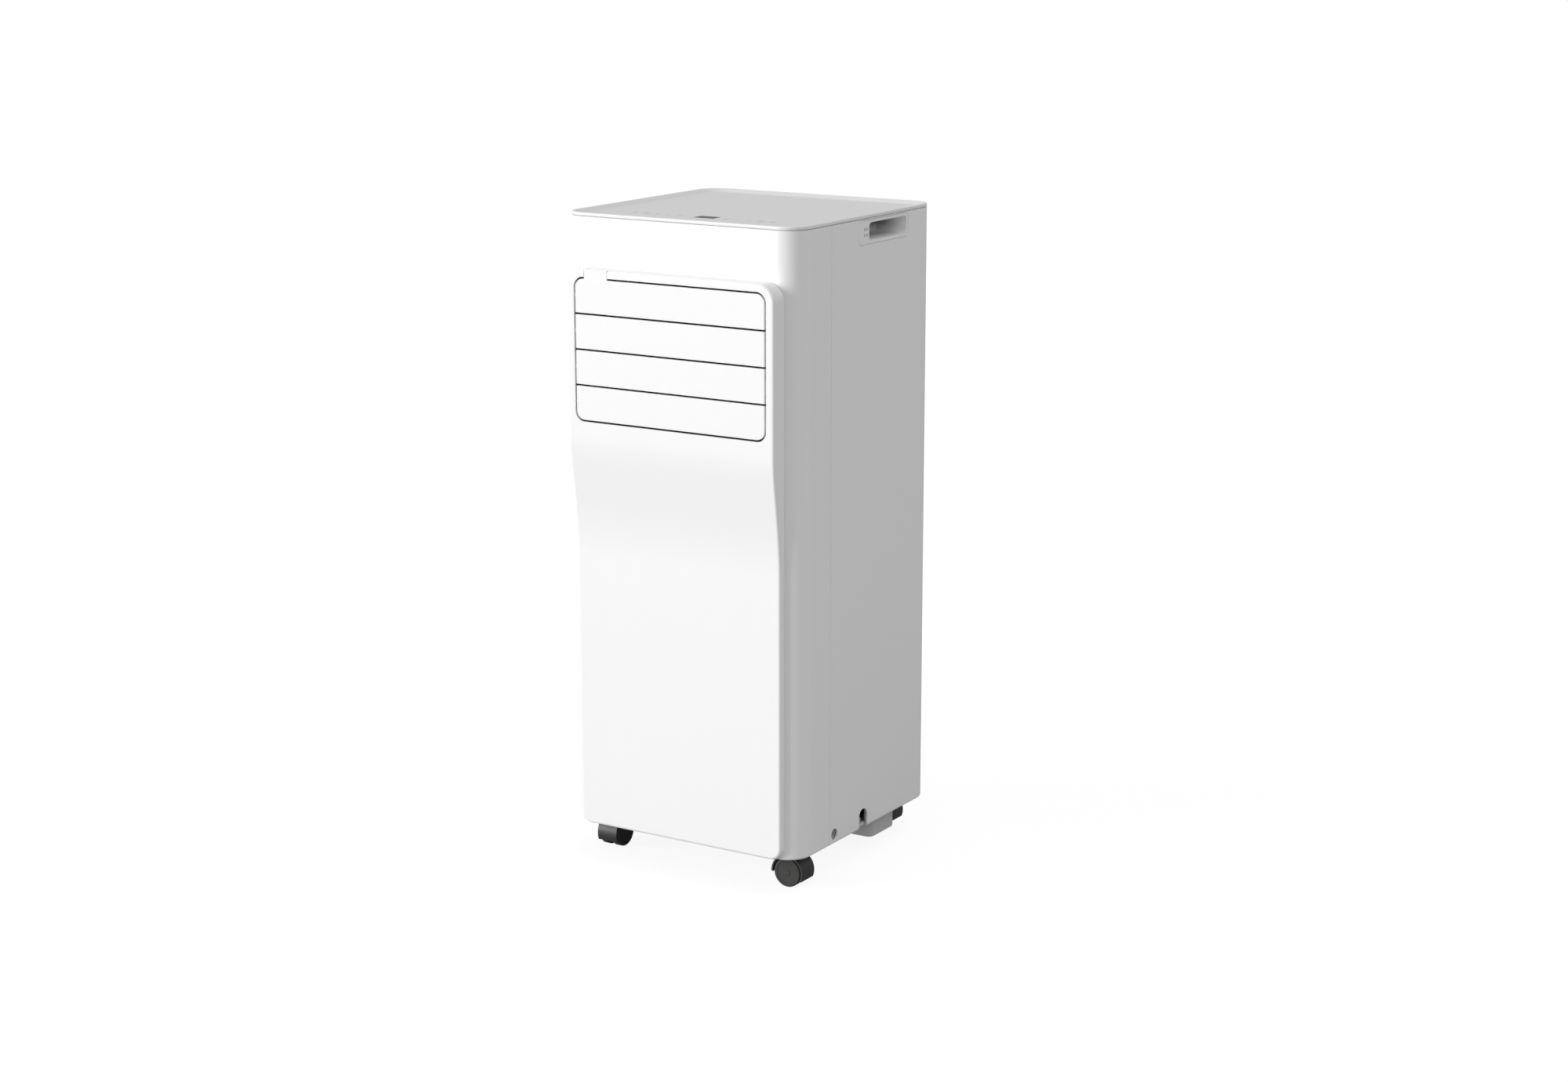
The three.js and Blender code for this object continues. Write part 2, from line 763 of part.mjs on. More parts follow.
// A wheel whose flats touch the floor, with a blind bore on its inner side.
function casterWheel(side) {
  const sides = 24;
  const radius = wheelRadius / Math.cos(Math.PI / sides);
  const inner = casterHalfWidth - 0.2 - wheelWidth;
  const from = side > 0 ? inner : -inner - wheelWidth;
  const half = Math.PI / sides;
  const disc = rod("y", radius, from, from + wheelWidth, 0, 0, sides).rotateY(half);
  const bore =
    side > 0
      ? rod("y", axleHole, from - 1, from + wheelWidth - 2, 0, 0, 8)
      : rod("y", axleHole, from + 2, from + wheelWidth + 1, 0, 0, 8);
  return cut(solid(disc), bore);
}

for (const [name, { x, y, turn }] of Object.entries(casterPlaces)) {
  const caster = new THREE.Group();
  caster.position.set(x, y, 0);
  caster.setRotationFromAxisAngle(up, THREE.MathUtils.degToRad(turn));
  airConditioner.add(caster);
  const axlePlace = [-casterTrail, 0, axleZ];
  place("caster_hood_" + name, casterHood(), black, caster);
  const axleHalf = casterHalfWidth - 2.6;
  place("axle_" + name, rod("y", axleRadius, -axleHalf, axleHalf, 0, 0, 8), steel, caster, axlePlace);
  place("wheel_a_" + name, casterWheel(1), black, caster, axlePlace);
  place("wheel_b_" + name, casterWheel(-1), black, caster, axlePlace);
}

// ---------------------------------------------------------------- refrigeration circuit
const compressorPlace = { x: -85, y: -76, radius: 50, z0: 52, z1: 236 };

function compressor() {
  const { x, y, radius, z0, z1 } = compressorPlace;
  const profile = [
    [0, z0 + 6],
    [radius - 16, z0 + 6],
    [radius, z0 + 20],
    [radius, z1 - 20],
    [radius - 16, z1 - 5],
    [0, z1],
  ].map(([r, z]) => new THREE.Vector2(r, z));
  const can = new THREE.LatheGeometry(profile, 24).rotateX(Math.PI / 2).translate(x, y, 0);
  const accumulatorX = x + radius + 26;
  return join(
    can,
    rod("z", radius + 8, z0, z0 + 8, x, y, 3),
    rod("z", 20, z0 + 30, z1 - 40, accumulatorX, y, 16),
    box(x + radius - 8, accumulatorX, y - 8, y + 8, z0 + 60, z0 + 80),
    rod("x", 5, x + radius - 8, accumulatorX, y, z0 + 36, 8),
  );
}

place("compressor", compressor(), darkMetal);

// A finned block between two end plates, with the ends of its tubes at one side.
function coil(z0, z1) {
  const half = 122;
  const y0 = 85;
  const y1 = 109;
  const plate = (x) => box(x - 1, x + 1, y0 - 2, y1 + 2, z0 - 2, z1 + 2);
  const tubeEnds = [];
  for (let z = z0 + 20; z < z1 - 10; z += 30) {
    tubeEnds.push(rod("x", 4, half, half + 8, (y0 + y1) / 2, z, 8));
  }
  return join(box(-half, half, y0, y1, z0, z1), plate(-half), plate(half), ...tubeEnds);
}

place("evaporator_coil", coil(432, 702), aluminium);
place("condenser_coil", coil(76, 228), aluminium);

// ---------------------------------------------------------------- blowers
const upperFan = { y: -22, z: 598, radius: 60, x0: -122, x1: 84 };
const lowerFan = { z: 152, radius: 72, y0: 16, y1: 66 };
const shaftRadius = 3.6;
const shaftHole = 4.5;
const discThickness = 2.4;
const scrollFrontY = ductBackY + gap;

function upperScroll() {
  const { y, z, radius, x0, x1 } = upperFan;
  const bottom = ductBottomZ - wall;
  const top = ductTopZ + wall;
  const block = box(-132, 132, scrollFrontY, 62, bottom, top);
  const room = { x0: x0 - 4, x1: x1 + 4 };
  return cut(
    solid(block),
    box(room.x0, room.x1, scrollFrontY - 1, y, ductBottomZ + 2, ductTopZ - 2),
    rod("x", radius + 9, room.x0, room.x1, y, z, 32),
    box(room.x0, room.x1, y, 63, z - 58, z + 58),
    rod("x", shaftHole, -133, room.x0 + 1, y, z, 12),
    rod("x", 34, room.x1 + 6, 133, y, z, 20),
    rod("x", shaftHole, room.x1 - 1, room.x1 + 7, y, z, 12),
  );
}

// A drum of blades between two discs: x runs along the shaft.
function fanWheel(radius, x0, x1, bladeCount, shaft0, shaft1) {
  const blades = [...Array(bladeCount).keys()].map((i) =>
    box(x0 + 1, x1 - 1, -1, 1, radius - 13, radius - 1)
      .rotateX(0.6)
      .translate(0, -radius * 0.35, -radius * 0.14)
      .rotateX((2 * Math.PI * i) / bladeCount),
  );
  const disc = (x) => rod("x", radius, x, x + discThickness, 0, 0, 20);
  return join(
    disc(x0),
    disc(x1 - discThickness),
    ...blades,
    rod("x", shaftRadius, shaft0, shaft1, 0, 0, 10),
  );
}

function upperBlowerWheel() {
  const { x0, x1, radius } = upperFan;
  return fanWheel(radius, x0, x1, 10, -131, x1 + 9);
}

place("upper_scroll", upperScroll(), foam);
place("upper_blower_wheel", upperBlowerWheel(), black, airConditioner, [
  0,
  upperFan.y,
  upperFan.z,
]);

function motor(radius, length) {
  return join(
    rod("x", radius, 0, length, 0, 0, 20),
    rod("x", radius * 0.45, length - 1, length + 4, 0, 0, 12),
  );
}

place("upper_motor", motor(31, 38), darkMetal, airConditioner, [
  upperFan.x1 + 11,
  upperFan.y,
  upperFan.z,
]);

function spiral(inner, outer, steps) {
  const points = [...Array(steps + 1).keys()].map((i) => {
    const angle = Math.PI * (0.75 + (1.5 * i) / steps);
    const radius = inner + ((outer - inner) * i) / steps;
    return [radius * Math.cos(angle), lowerFan.z + radius * Math.sin(angle)];
  });
  return polygon(points);
}

function lowerScroll() {
  const { y0, y1, z } = lowerFan;
  const ductHalf = 76;
  const top = 392;
  const front = y0 - 12;
  const back = y1 + 10;
  const body = (inset, open) =>
    solid(
      frontPrism(spiral(88 - inset, 108 - inset, 24), front + inset, back - inset, 1),
    ).add(
      solid(
        box(
          -ductHalf + inset,
          ductHalf - inset,
          front + inset,
          back - inset,
          z + 20,
          top - inset,
        ),
      ).add(
        solid(
          box(
            -ductHalf + inset,
            ductHalf - inset,
            front + inset,
            backY - wall - 1 + open,
            z + 88 + inset,
            top - inset,
          ),
        ),
      ),
    );
  return cut(
    body(0, 0).subtract(body(wall, 5)),
    rod("y", 52, back - 5, back + 1, 0, z, 28),
    rod("y", shaftHole, front - 1, front + 5, 0, z, 12),
  );
}

function lowerBlowerWheel() {
  const { y0, y1, radius } = lowerFan;
  const ring = solid(rod("y", radius, y1 - 3, y1, 0, 0, 16));
  const backPlate = solid(rod("y", radius, y0, y0 + discThickness, 0, 0, 16));
  const bladeCount = 12;
  const blades = [...Array(bladeCount).keys()].map((i) =>
    box(-1, 1, y0 + 1, y1 - 1, radius - 15, radius - 1).rotateY(
      (2 * Math.PI * i) / bladeCount,
    ),
  );
  const shaft = rod("y", shaftRadius, y0 - 21.6, y0 + 14, 0, 0, 10);
  return cut(
    [shaft, ...blades].map(solid).reduce((a, b) => a.add(b), ring.add(backPlate)),
    rod("y", radius - 14, y1 - 4, y1 + 1, 0, 0, 16),
  );
}

place("lower_scroll", lowerScroll(), paleGrey);
place("lower_blower_wheel", lowerBlowerWheel(), black, airConditioner, [0, 0, lowerFan.z]);
const lowerMotor = place("lower_motor", motor(30, 26), darkMetal, airConditioner, [
  0,
  lowerFan.y0 - 52,
  lowerFan.z,
]);
lowerMotor.rotation.z = Math.PI / 2; // its shaft runs along Y

// ---------------------------------------------------------------- partition, electronics and pipes
const partitionZ = 396;
const suctionHole = { x: -138, y: 40 };

function partitionTray() {
  const plate = planPrism(planOutline(wall + gap), partitionZ, partitionZ + 3, 4);
  const trough = (inset) => box(-126 + inset, 126 - inset, 76 + inset, 120 - inset, 0, 24);
  const tray = cut(
    solid(trough(0).translate(0, 0, partitionZ + 2)),
    trough(2).translate(0, 0, partitionZ + 3),
  );
  return cut(
    solid(plate).add(tray),
    rod("z", 7, partitionZ - 1, partitionZ + 4, suctionHole.x, suctionHole.y, 12),
  );
}

place("partition_tray", partitionTray(), midGrey);
place(
  "control_box",
  cut(
    solid(box(62, 146, -118, -40, 250, 384)),
    box(64, 144, -116, -42, 253, 386),
  ),
  paleGrey,
);

// A copper pipe: round section swept along straight runs with rounded bends.
function pipe(points, radius) {
  const path = new THREE.CatmullRomCurve3(
    points.map((p) => new THREE.Vector3(...p)),
    false,
    "catmullrom",
    0.25,
  );
  const section = new THREE.Shape().absarc(0, 0, radius, 0, 2 * Math.PI);
  return new THREE.ExtrudeGeometry(section, {
    steps: 20,
    curveSegments: 4,
    bevelEnabled: false,
    extrudePath: path,
  });
}

const { x: compressorX, y: compressorY, z1: compressorTop } = compressorPlace;
place(
  "discharge_pipe",
  pipe(
    [
      [compressorX, compressorY, compressorTop + 1],
      [compressorX, compressorY, compressorTop + 34],
      [-134, -20, compressorTop + 40],
      [-140, 40, compressorTop + 10],
      [-140, 80, 190],
      [-126.5, 97, 190],
    ],
    3,
  ),
  copper,
);
place(
  "suction_pipe",
  pipe(
    [
      [compressorX + 76, compressorY, compressorTop - 39],
      [compressorX + 76, compressorY, compressorTop + 60],
      [-110, -10, compressorTop + 76],
      [suctionHole.x, suctionHole.y, partitionZ - 60],
      [suctionHole.x, suctionHole.y, partitionZ + 50],
      [-138, 90, 480],
      [-126.5, 97, 480],
    ],
    4.5,
  ),
  copper,
);

export default airConditioner;
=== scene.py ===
# %% [markdown]
# # A portable air conditioner, modelled piece by piece
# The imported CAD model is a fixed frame: it says where every piece is and how it moves. This lesson
# gives each visible piece its finished shape and surface. We load the frame first, so that every size
# below can be read from it instead of being guessed.

# %% Load the frame
import json
import math
from contextlib import contextmanager

import bmesh
import bpy
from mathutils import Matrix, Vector


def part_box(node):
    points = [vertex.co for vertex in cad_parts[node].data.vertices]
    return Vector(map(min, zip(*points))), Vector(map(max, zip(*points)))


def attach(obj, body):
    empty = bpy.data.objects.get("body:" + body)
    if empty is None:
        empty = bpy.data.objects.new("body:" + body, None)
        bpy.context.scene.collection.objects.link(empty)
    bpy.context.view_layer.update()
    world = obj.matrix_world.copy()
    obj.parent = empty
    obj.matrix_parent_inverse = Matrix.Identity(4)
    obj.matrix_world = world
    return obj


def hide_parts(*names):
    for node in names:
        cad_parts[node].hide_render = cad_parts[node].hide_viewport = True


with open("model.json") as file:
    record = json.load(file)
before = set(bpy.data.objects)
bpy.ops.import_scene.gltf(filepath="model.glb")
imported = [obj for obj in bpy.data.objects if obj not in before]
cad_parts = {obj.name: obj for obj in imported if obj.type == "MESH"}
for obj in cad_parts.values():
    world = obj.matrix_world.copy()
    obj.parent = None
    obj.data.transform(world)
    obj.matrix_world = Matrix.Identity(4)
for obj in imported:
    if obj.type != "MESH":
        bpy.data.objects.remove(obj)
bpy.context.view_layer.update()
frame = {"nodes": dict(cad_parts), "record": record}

# %% [markdown]
# ## Measures
# Blender works in metres and a maker thinks in millimetres, so one factor turns one into the other.
# The corners of the CAD nodes give the cabinet's faces. Only roundings and wall thicknesses, which a
# box can't tell, are written down here.

# %% Measures of the cabinet, in millimetres
MM = 0.001


def corners(node):
    """The lowest and highest corner of a CAD node, in millimetres."""
    low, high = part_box(node)
    return low / MM, high / MM


front_low, front_high = corners("front_shell")
rear_low, rear_high = corners("rear_shell")
side_x = front_high.x
front_y, back_y = front_low.y, rear_high.y
shell_bottom, shell_top = front_low.z, front_high.z
middle_y = (front_y + back_y) / 2
half_depth = (back_y - front_y) / 2
corner_radius = 27
wall = 2.5
gap = 0.4
past = 5  # how far a cutter runs past the face it cuts
print("cabinet", round(2 * side_x), "x", round(2 * half_depth), "x", round(shell_top - shell_bottom), "mm")

# %% [markdown]
# ## A small tool box
# Everything is made with Blender's own operators, as by hand. An operator acts on whatever is
# selected, so each helper selects exactly what it works on. Faces and edges are picked by where they
# lie or which way they run, because their numbers change with every step.


# %% Selecting
def alone(obj):
    """Makes obj the only selected object, and the active one."""
    bpy.ops.object.select_all(action="DESELECT")
    obj.select_set(True)
    bpy.context.view_layer.objects.active = obj
    return obj


@contextmanager
def editing(obj, mode="EDGE"):
    """Edit mode on one object, with nothing selected at the start."""
    alone(obj)
    bpy.ops.object.mode_set(mode="EDIT")
    bpy.ops.mesh.select_mode(type=mode)
    bpy.ops.mesh.select_all(action="DESELECT")
    yield bmesh.from_edit_mesh(obj.data)
    bpy.ops.object.mode_set(mode="OBJECT")


def pick(obj, elements, test):
    """Selects the vertices, edges or faces that pass a test, and says how many."""
    found = [e for e in elements if test(e)]
    for element in found:
        element.select = True
    bmesh.update_edit_mesh(obj.data)
    return len(found)


def along(axis, where=lambda point: True):
    """A test for edges that run along an axis, whose middle passes a test in millimetres."""
    other = [i for i in range(3) if i != "xyz".index(axis)]

    def test(edge):
        a, b = (v.co / MM for v in edge.verts)
        straight = all(abs(a[i] - b[i]) < 0.01 for i in other)
        return straight and (a - b).length > 0.2 and where((a + b) / 2)

    return test


# %% Making and cutting
def apply_place(obj):
    """Moves the object's place, turn and scale into its mesh."""
    alone(obj)
    bpy.ops.object.transform_apply(location=True, rotation=True, scale=True)
    return obj


def block(name, low, high):
    """A box between two corners."""
    low, high = Vector(low) * MM, Vector(high) * MM
    bpy.ops.object.select_all(action="DESELECT")
    bpy.ops.mesh.primitive_cube_add(size=1, location=(low + high) / 2)
    obj = bpy.context.object
    obj.name = obj.data.name = name
    obj.scale = high - low
    return apply_place(obj)


def rod(name, axis, radius, start, end, a, b, sides=48):
    """A cylinder along an axis; a and b are the other two coordinates of its centre line."""
    middle = (start + end) / 2
    place = {"x": (middle, a, b), "y": (a, middle, b), "z": (a, b, middle)}[axis]
    turn = {"x": (0, math.pi / 2, 0), "y": (math.pi / 2, 0, 0), "z": (0, 0, 0)}[axis]
    bpy.ops.object.select_all(action="DESELECT")
    bpy.ops.mesh.primitive_cylinder_add(
        vertices=sides,
        radius=radius * MM,
        depth=(end - start) * MM,
        location=Vector(place) * MM,
        rotation=turn,
    )
    obj = bpy.context.object
    obj.name = obj.data.name = name
    return apply_place(obj)


def round_edges(obj, test, radius, segments=6):
    """Rounds the edges that pass a test."""
    with editing(obj) as mesh:
        if pick(obj, mesh.edges, test):
            bpy.ops.mesh.bevel(
                offset=radius * MM, segments=segments, profile=0.5, affect="EDGES", clamp_overlap=True
            )
    return obj


def rounded_block(name, low, high, axis, radius, segments=8):
    """A box whose four edges along one axis are rounded."""
    return round_edges(block(name, low, high), along(axis), radius, segments)


def modify(obj, kind, **settings):
    """Adds a modifier and applies it."""
    alone(obj)
    modifier = obj.modifiers.new(kind.lower(), kind)
    for key, value in settings.items():
        setattr(modifier, key, value)
    bpy.ops.object.modifier_apply(modifier=modifier.name)
    return obj


def combine(obj, operation, others):
    """Joins others to obj, or cuts them out of it, as solids. The others are used up."""
    for other in others:
        modify(obj, "BOOLEAN", operation=operation, object=other, solver="EXACT")
        bpy.data.objects.remove(other)
    return obj


def cut(obj, *cutters):
    """Cuts solids out of obj."""
    return combine(obj, "DIFFERENCE", cutters)


def weld(obj, *others):
    """Joins solids to obj."""
    return combine(obj, "UNION", others)


def gather(name, parts):
    """Makes several separate solids one object."""
    alone(parts[0])
    for part in parts:
        part.select_set(True)
    bpy.ops.object.join()
    parts[0].name = parts[0].data.name = name
    return parts[0]


def soften(obj, width, segments=2, angle=40):
    """Breaks every edge sharper than an angle, as a mould does."""
    return modify(
        obj,
        "BEVEL",
        width=width * MM,
        segments=segments,
        limit_method="ANGLE",
        angle_limit=math.radians(angle),
        use_clamp_overlap=True,
    )


def settle(obj, offset, turn=0):
    """Turns a shape about the upright axis and moves it, to where it belongs."""
    obj.rotation_euler = (0, 0, math.radians(turn))
    obj.location = Vector(offset) * MM
    return apply_place(obj)


def twin(obj, name, offset=(0, 0, 0), turn=0):
    """A copy with its own mesh, turned and moved."""
    copy = obj.copy()
    copy.data = obj.data.copy()
    copy.name = copy.data.name = name
    bpy.context.collection.objects.link(copy)
    return settle(copy, offset, turn)


def done(obj, material, body, slot, *nodes):
    """Shades a finished piece, gives it its finish and hands it to the frame."""
    alone(obj)
    bpy.ops.object.shade_smooth_by_angle(angle=math.radians(38))
    modify(obj, "WEIGHTED_NORMAL", keep_sharp=True)
    obj.data.materials.clear()
    obj.data.materials.append(material)
    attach(obj, body)
    if nodes:
        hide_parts(*nodes)
    size = " x ".join(str(round(x / MM, 1)) for x in obj.dimensions)
    print(obj.name + ":", len(obj.data.polygons), "faces,", size, "mm")
    return obj


# %% [markdown]
# ## Camera
# The camera looks at the cabinet from its front right, a little above. It comes first, so that each
# piece can be looked at as soon as it is made.

# %% Camera
camera = bpy.data.objects.new("camera", bpy.data.cameras.new("camera"))
bpy.context.collection.objects.link(camera)
camera.location = (1.7087, -2.6911, 1.0995)
camera.rotation_euler = (math.radians(90 - 13.02), 0, math.radians(31.73))
camera.data.sensor_width = 36
camera.data.lens = 65.23
bpy.context.scene.camera = camera
print("camera", round(camera.location.length, 2), "m from the cabinet")

# %% [markdown]
# ## Light and floor
# A white appliance is drawn by its shades alone. A wide low sun from the front left lights the front and
# the left side, and leaves the right side to the even grey of the surroundings. A weak one from the
# upper right lifts that side and the top panel a little. World and floor look brighter to the camera
# than they are to the machine: that keeps the background plain white, and the gaps dark.

# %% Light and floor
bpy.context.scene.view_settings.view_transform = "Standard"


def seen_or_lit(tree, seen, lit, output):
    """Shows the camera one shader, and lights the machine with another."""
    path = tree.nodes.new("ShaderNodeLightPath")
    choose = tree.nodes.new("ShaderNodeMixShader")
    tree.links.new(path.outputs["Is Camera Ray"], choose.inputs["Fac"])
    tree.links.new(lit, choose.inputs[1])
    tree.links.new(seen, choose.inputs[2])
    tree.links.new(choose.outputs["Shader"], output.inputs["Surface"])


def make_world(surroundings=0.47):
    world = bpy.data.worlds.new("studio")
    bpy.context.scene.world = world
    world.use_nodes = True
    tree = world.node_tree
    tree.nodes.clear()
    shaders = []
    for strength in (1, surroundings):
        background = tree.nodes.new("ShaderNodeBackground")
        background.inputs["Color"].default_value = (1, 1, 1, 1)
        background.inputs["Strength"].default_value = strength
        shaders.append(background.outputs["Background"])
    seen_or_lit(tree, *shaders, tree.nodes.new("ShaderNodeOutputWorld"))


def make_sun(name, strength, towards, softness):
    light = bpy.data.lights.new(name, "SUN")
    light.energy = strength
    light.angle = math.radians(softness)
    sun = bpy.data.objects.new(name, light)
    bpy.context.collection.objects.link(sun)
    sun.rotation_euler = Vector(towards).to_track_quat("-Z", "Y").to_euler()
    return sun


def make_floor():
    bpy.ops.object.select_all(action="DESELECT")
    bpy.ops.mesh.primitive_plane_add(size=30, location=(0, 0, 0))
    floor = bpy.context.object
    floor.name = "floor"
    material = bpy.data.materials.new("pale_floor")
    material.use_nodes = True
    tree = material.node_tree
    bounce = tree.nodes["Principled BSDF"]
    bounce.inputs["Base Color"].default_value = (0.4, 0.4, 0.4, 1)
    bounce.inputs["Roughness"].default_value = 0.9
    shade = tree.nodes.new("ShaderNodeBsdfDiffuse")
    shade.inputs["Color"].default_value = (0.16, 0.16, 0.16, 1)
    glow = tree.nodes.new("ShaderNodeEmission")
    glow.inputs["Strength"].default_value = 0.9
    seen = tree.nodes.new("ShaderNodeAddShader")
    tree.links.new(shade.outputs["BSDF"], seen.inputs[0])
    tree.links.new(glow.outputs["Emission"], seen.inputs[1])
    output = tree.nodes["Material Output"]
    seen_or_lit(tree, seen.outputs["Shader"], bounce.outputs["BSDF"], output)
    floor.data.materials.append(material)


make_world()
make_sun("key", 2.7, (0.95, 1.0, -0.25), 30)
make_sun("side_fill", 0.5, (-0.7, 0.1, -1.0), 50)
make_floor()
print("studio ready")

# %% [markdown]
# ## Finishes
# Nearly every part is injection moulded plastic. What tells one plastic from another is the grain of the
# mould, how the gloss drifts over a wide face, and what handling and dust do to it. One more effect is a
# painted shade that darkens the side pockets deep inside. These five effects are therefore made once, as
# node groups, and every finish sets its own amounts. A group only puts out colours and values. The shader
# stays in the material.


# %% Shared effects
def new_group(name, inputs, outputs):
    group = bpy.data.node_groups.new(name, "ShaderNodeTree")
    for socket, kind, value in inputs:
        made = group.interface.new_socket(socket, in_out="INPUT", socket_type="NodeSocket" + kind)
        if value is not None:
            made.default_value = value
    for socket, kind in outputs:
        group.interface.new_socket(socket, in_out="OUTPUT", socket_type="NodeSocket" + kind)
    return group, group.nodes.new("NodeGroupInput"), group.nodes.new("NodeGroupOutput")


def feed(tree, socket, value):
    """Gives an input its value: a number, a colour, or the output of another node."""
    if isinstance(value, bpy.types.NodeSocket):
        tree.links.new(value, socket)
    else:
        socket.default_value = value


def maths(tree, operation, *values):
    """A Math node. Each value is a number or a socket."""
    node = tree.nodes.new("ShaderNodeMath")
    node.operation = operation
    for socket, value in zip(node.inputs, values):
        feed(tree, socket, value)
    return node.outputs["Value"]


def noise(tree, vector, scale, detail=2, roughness=0.5):
    node = tree.nodes.new("ShaderNodeTexNoise")
    given = {"Vector": vector, "Scale": scale, "Detail": detail, "Roughness": roughness}
    for socket, value in given.items():
        feed(tree, node.inputs[socket], value)
    return node.outputs["Fac"]


def mix_colour(tree, factor, a, b):
    node = tree.nodes.new("ShaderNodeMix")
    node.data_type = "RGBA"
    for socket, value in (("Factor", factor), (6, a), (7, b)):
        feed(tree, node.inputs[socket], value)
    return node.outputs[2]


def ramp(tree, value, start, end, interpolation="LINEAR"):
    """From 0 where the value is at start to 1 where it is at end."""
    node = tree.nodes.new("ShaderNodeMapRange")
    node.interpolation_type = interpolation
    for socket, given in (("Value", value), ("From Min", start), ("From Max", end)):
        feed(tree, node.inputs[socket], given)
    return node.outputs["Result"]


def coordinate(tree, place, axis):
    node = tree.nodes.new("ShaderNodeSeparateXYZ")
    tree.links.new(place, node.inputs["Vector"])
    return node.outputs[axis]


def make_mould_grain():
    """The spark-eroded grain of a mould: fine pits with a broader unevenness under them."""
    group, source, result = new_group(
        "mould_grain", [("Vector", "Vector", None), ("Grain", "Float", 1500.0)], [("Height", "Float")]
    )
    fine = noise(group, source.outputs["Vector"], source.outputs["Grain"], 3, 0.6)
    broad = noise(group, source.outputs["Vector"], maths(group, "MULTIPLY", source.outputs["Grain"], 0.31))
    group.links.new(maths(group, "MULTIPLY_ADD", broad, 0.35, fine), result.inputs["Height"])
    return group


def make_drift():
    """Slow changes of shade and gloss over a wide moulding."""
    group, source, result = new_group(
        "drift",
        [
            ("Vector", "Vector", None),
            ("Colour", "Color", (0.8, 0.8, 0.8, 1)),
            ("Roughness", "Float", 0.5),
            ("Amount", "Float", 0.03),
        ],
        [("Colour", "Color"), ("Roughness", "Float")],
    )
    slow = noise(group, source.outputs["Vector"], 5.0, 3)
    smears = noise(group, source.outputs["Vector"], 38.0, 4, 0.65)
    amount = source.outputs["Amount"]
    shade = maths(group, "MULTIPLY", slow, amount)
    dark = mix_colour(group, shade, source.outputs["Colour"], (0.25, 0.25, 0.24, 1))
    group.links.new(dark, result.inputs["Colour"])
    uneven = maths(group, "SUBTRACT", smears, 0.5)
    change = maths(group, "MULTIPLY", uneven, maths(group, "MULTIPLY", amount, 4.0))
    rough = maths(group, "ADD", source.outputs["Roughness"], change)
    group.links.new(rough, result.inputs["Roughness"])
    return group


def make_mask(name, pattern):
    """A group that puts out a mask: the pattern of a place, times an amount."""
    group, source, result = new_group(
        name, [("Vector", "Vector", None), ("Amount", "Float", 0.5)], [("Mask", "Float")]
    )
    mask = maths(group, "MULTIPLY", pattern(group, source.outputs["Vector"]), source.outputs["Amount"])
    group.links.new(mask, result.inputs["Mask"])
    return group


def rubbed_edges(group, place):
    """The edges that rub: convex edges, broken up by noise."""
    geometry = group.nodes.new("ShaderNodeNewGeometry")
    convex = ramp(group, geometry.outputs["Pointiness"], 0.52, 0.64)
    return maths(group, "MULTIPLY", convex, noise(group, place, 260.0, 4, 0.7))


def near_floor(group, place):
    """The dust that gathers near the floor."""
    low = ramp(group, coordinate(group, place, "Z"), 0.09, 0.0)
    return maths(group, "MULTIPLY", low, noise(group, place, 420.0, 5, 0.7))


def shaded_deep_in_pocket(group, place):
    """Painted shade deep inside and high up in the side pockets: darker towards the closed end and the top,
    broken up a little by noise.
    """
    across = maths(group, "ABSOLUTE", coordinate(group, place, "X"))
    inwards = ramp(group, across, (side_x - 4) * MM, (side_x - 34) * MM, "SMOOTHSTEP")
    height = coordinate(group, place, "Z")
    upwards = ramp(group, height, (shell_top - 26) * MM, (shell_top - 11) * MM, "SMOOTHSTEP")
    patchy = maths(group, "MULTIPLY_ADD", noise(group, place, 60.0, 3), 0.3, 0.8)
    return maths(group, "MULTIPLY", maths(group, "MULTIPLY", inwards, upwards), patchy)


mould_grain = make_mould_grain()
drift = make_drift()
edge_wear = make_mask("edge_wear", rubbed_edges)
floor_dust = make_mask("floor_dust", near_floor)
# The pocket mask is painted shade: it darkens the inner, upper part of the side pockets.
pocket_painted_shade = make_mask("pocket_painted_shade", shaded_deep_in_pocket)
print("shared effects:", [g.name for g in bpy.data.node_groups])


# %% A moulded plastic
class Surface:
    """A new material with its shader and the object coordinates that its patterns read."""

    def __init__(self, name, **constants):
        self.material = bpy.data.materials.new(name)
        self.material.use_nodes = True
        self.tree = self.material.node_tree
        self.shader = self.tree.nodes["Principled BSDF"]
        self.place = self.tree.nodes.new("ShaderNodeTexCoord").outputs["Object"]
        for socket, value in constants.items():
            self.shader.inputs[socket.replace("_", " ")].default_value = value

    def group(self, group, **values):
        node = self.tree.nodes.new("ShaderNodeGroup")
        node.node_tree = group
        self.tree.links.new(self.place, node.inputs["Vector"])
        for socket, value in values.items():
            feed(self.tree, node.inputs[socket], value)
        return node.outputs

    def finish(self, colour, roughness, height, depth):
        """Links what the shader shows, with a bump that is depth millimetres deep."""
        bump = self.tree.nodes.new("ShaderNodeBump")
        bump.inputs["Strength"].default_value = 1.0
        bump.inputs["Distance"].default_value = depth * MM
        self.tree.links.new(height, bump.inputs["Height"])
        normal = bump.outputs["Normal"]
        for socket, value in (("Base Color", colour), ("Roughness", roughness), ("Normal", normal)):
            self.tree.links.new(value, self.shader.inputs[socket])
        return self.material


def grey(value, tint=(1, 1, 1)):
    return tuple(value * t for t in tint) + (1,)


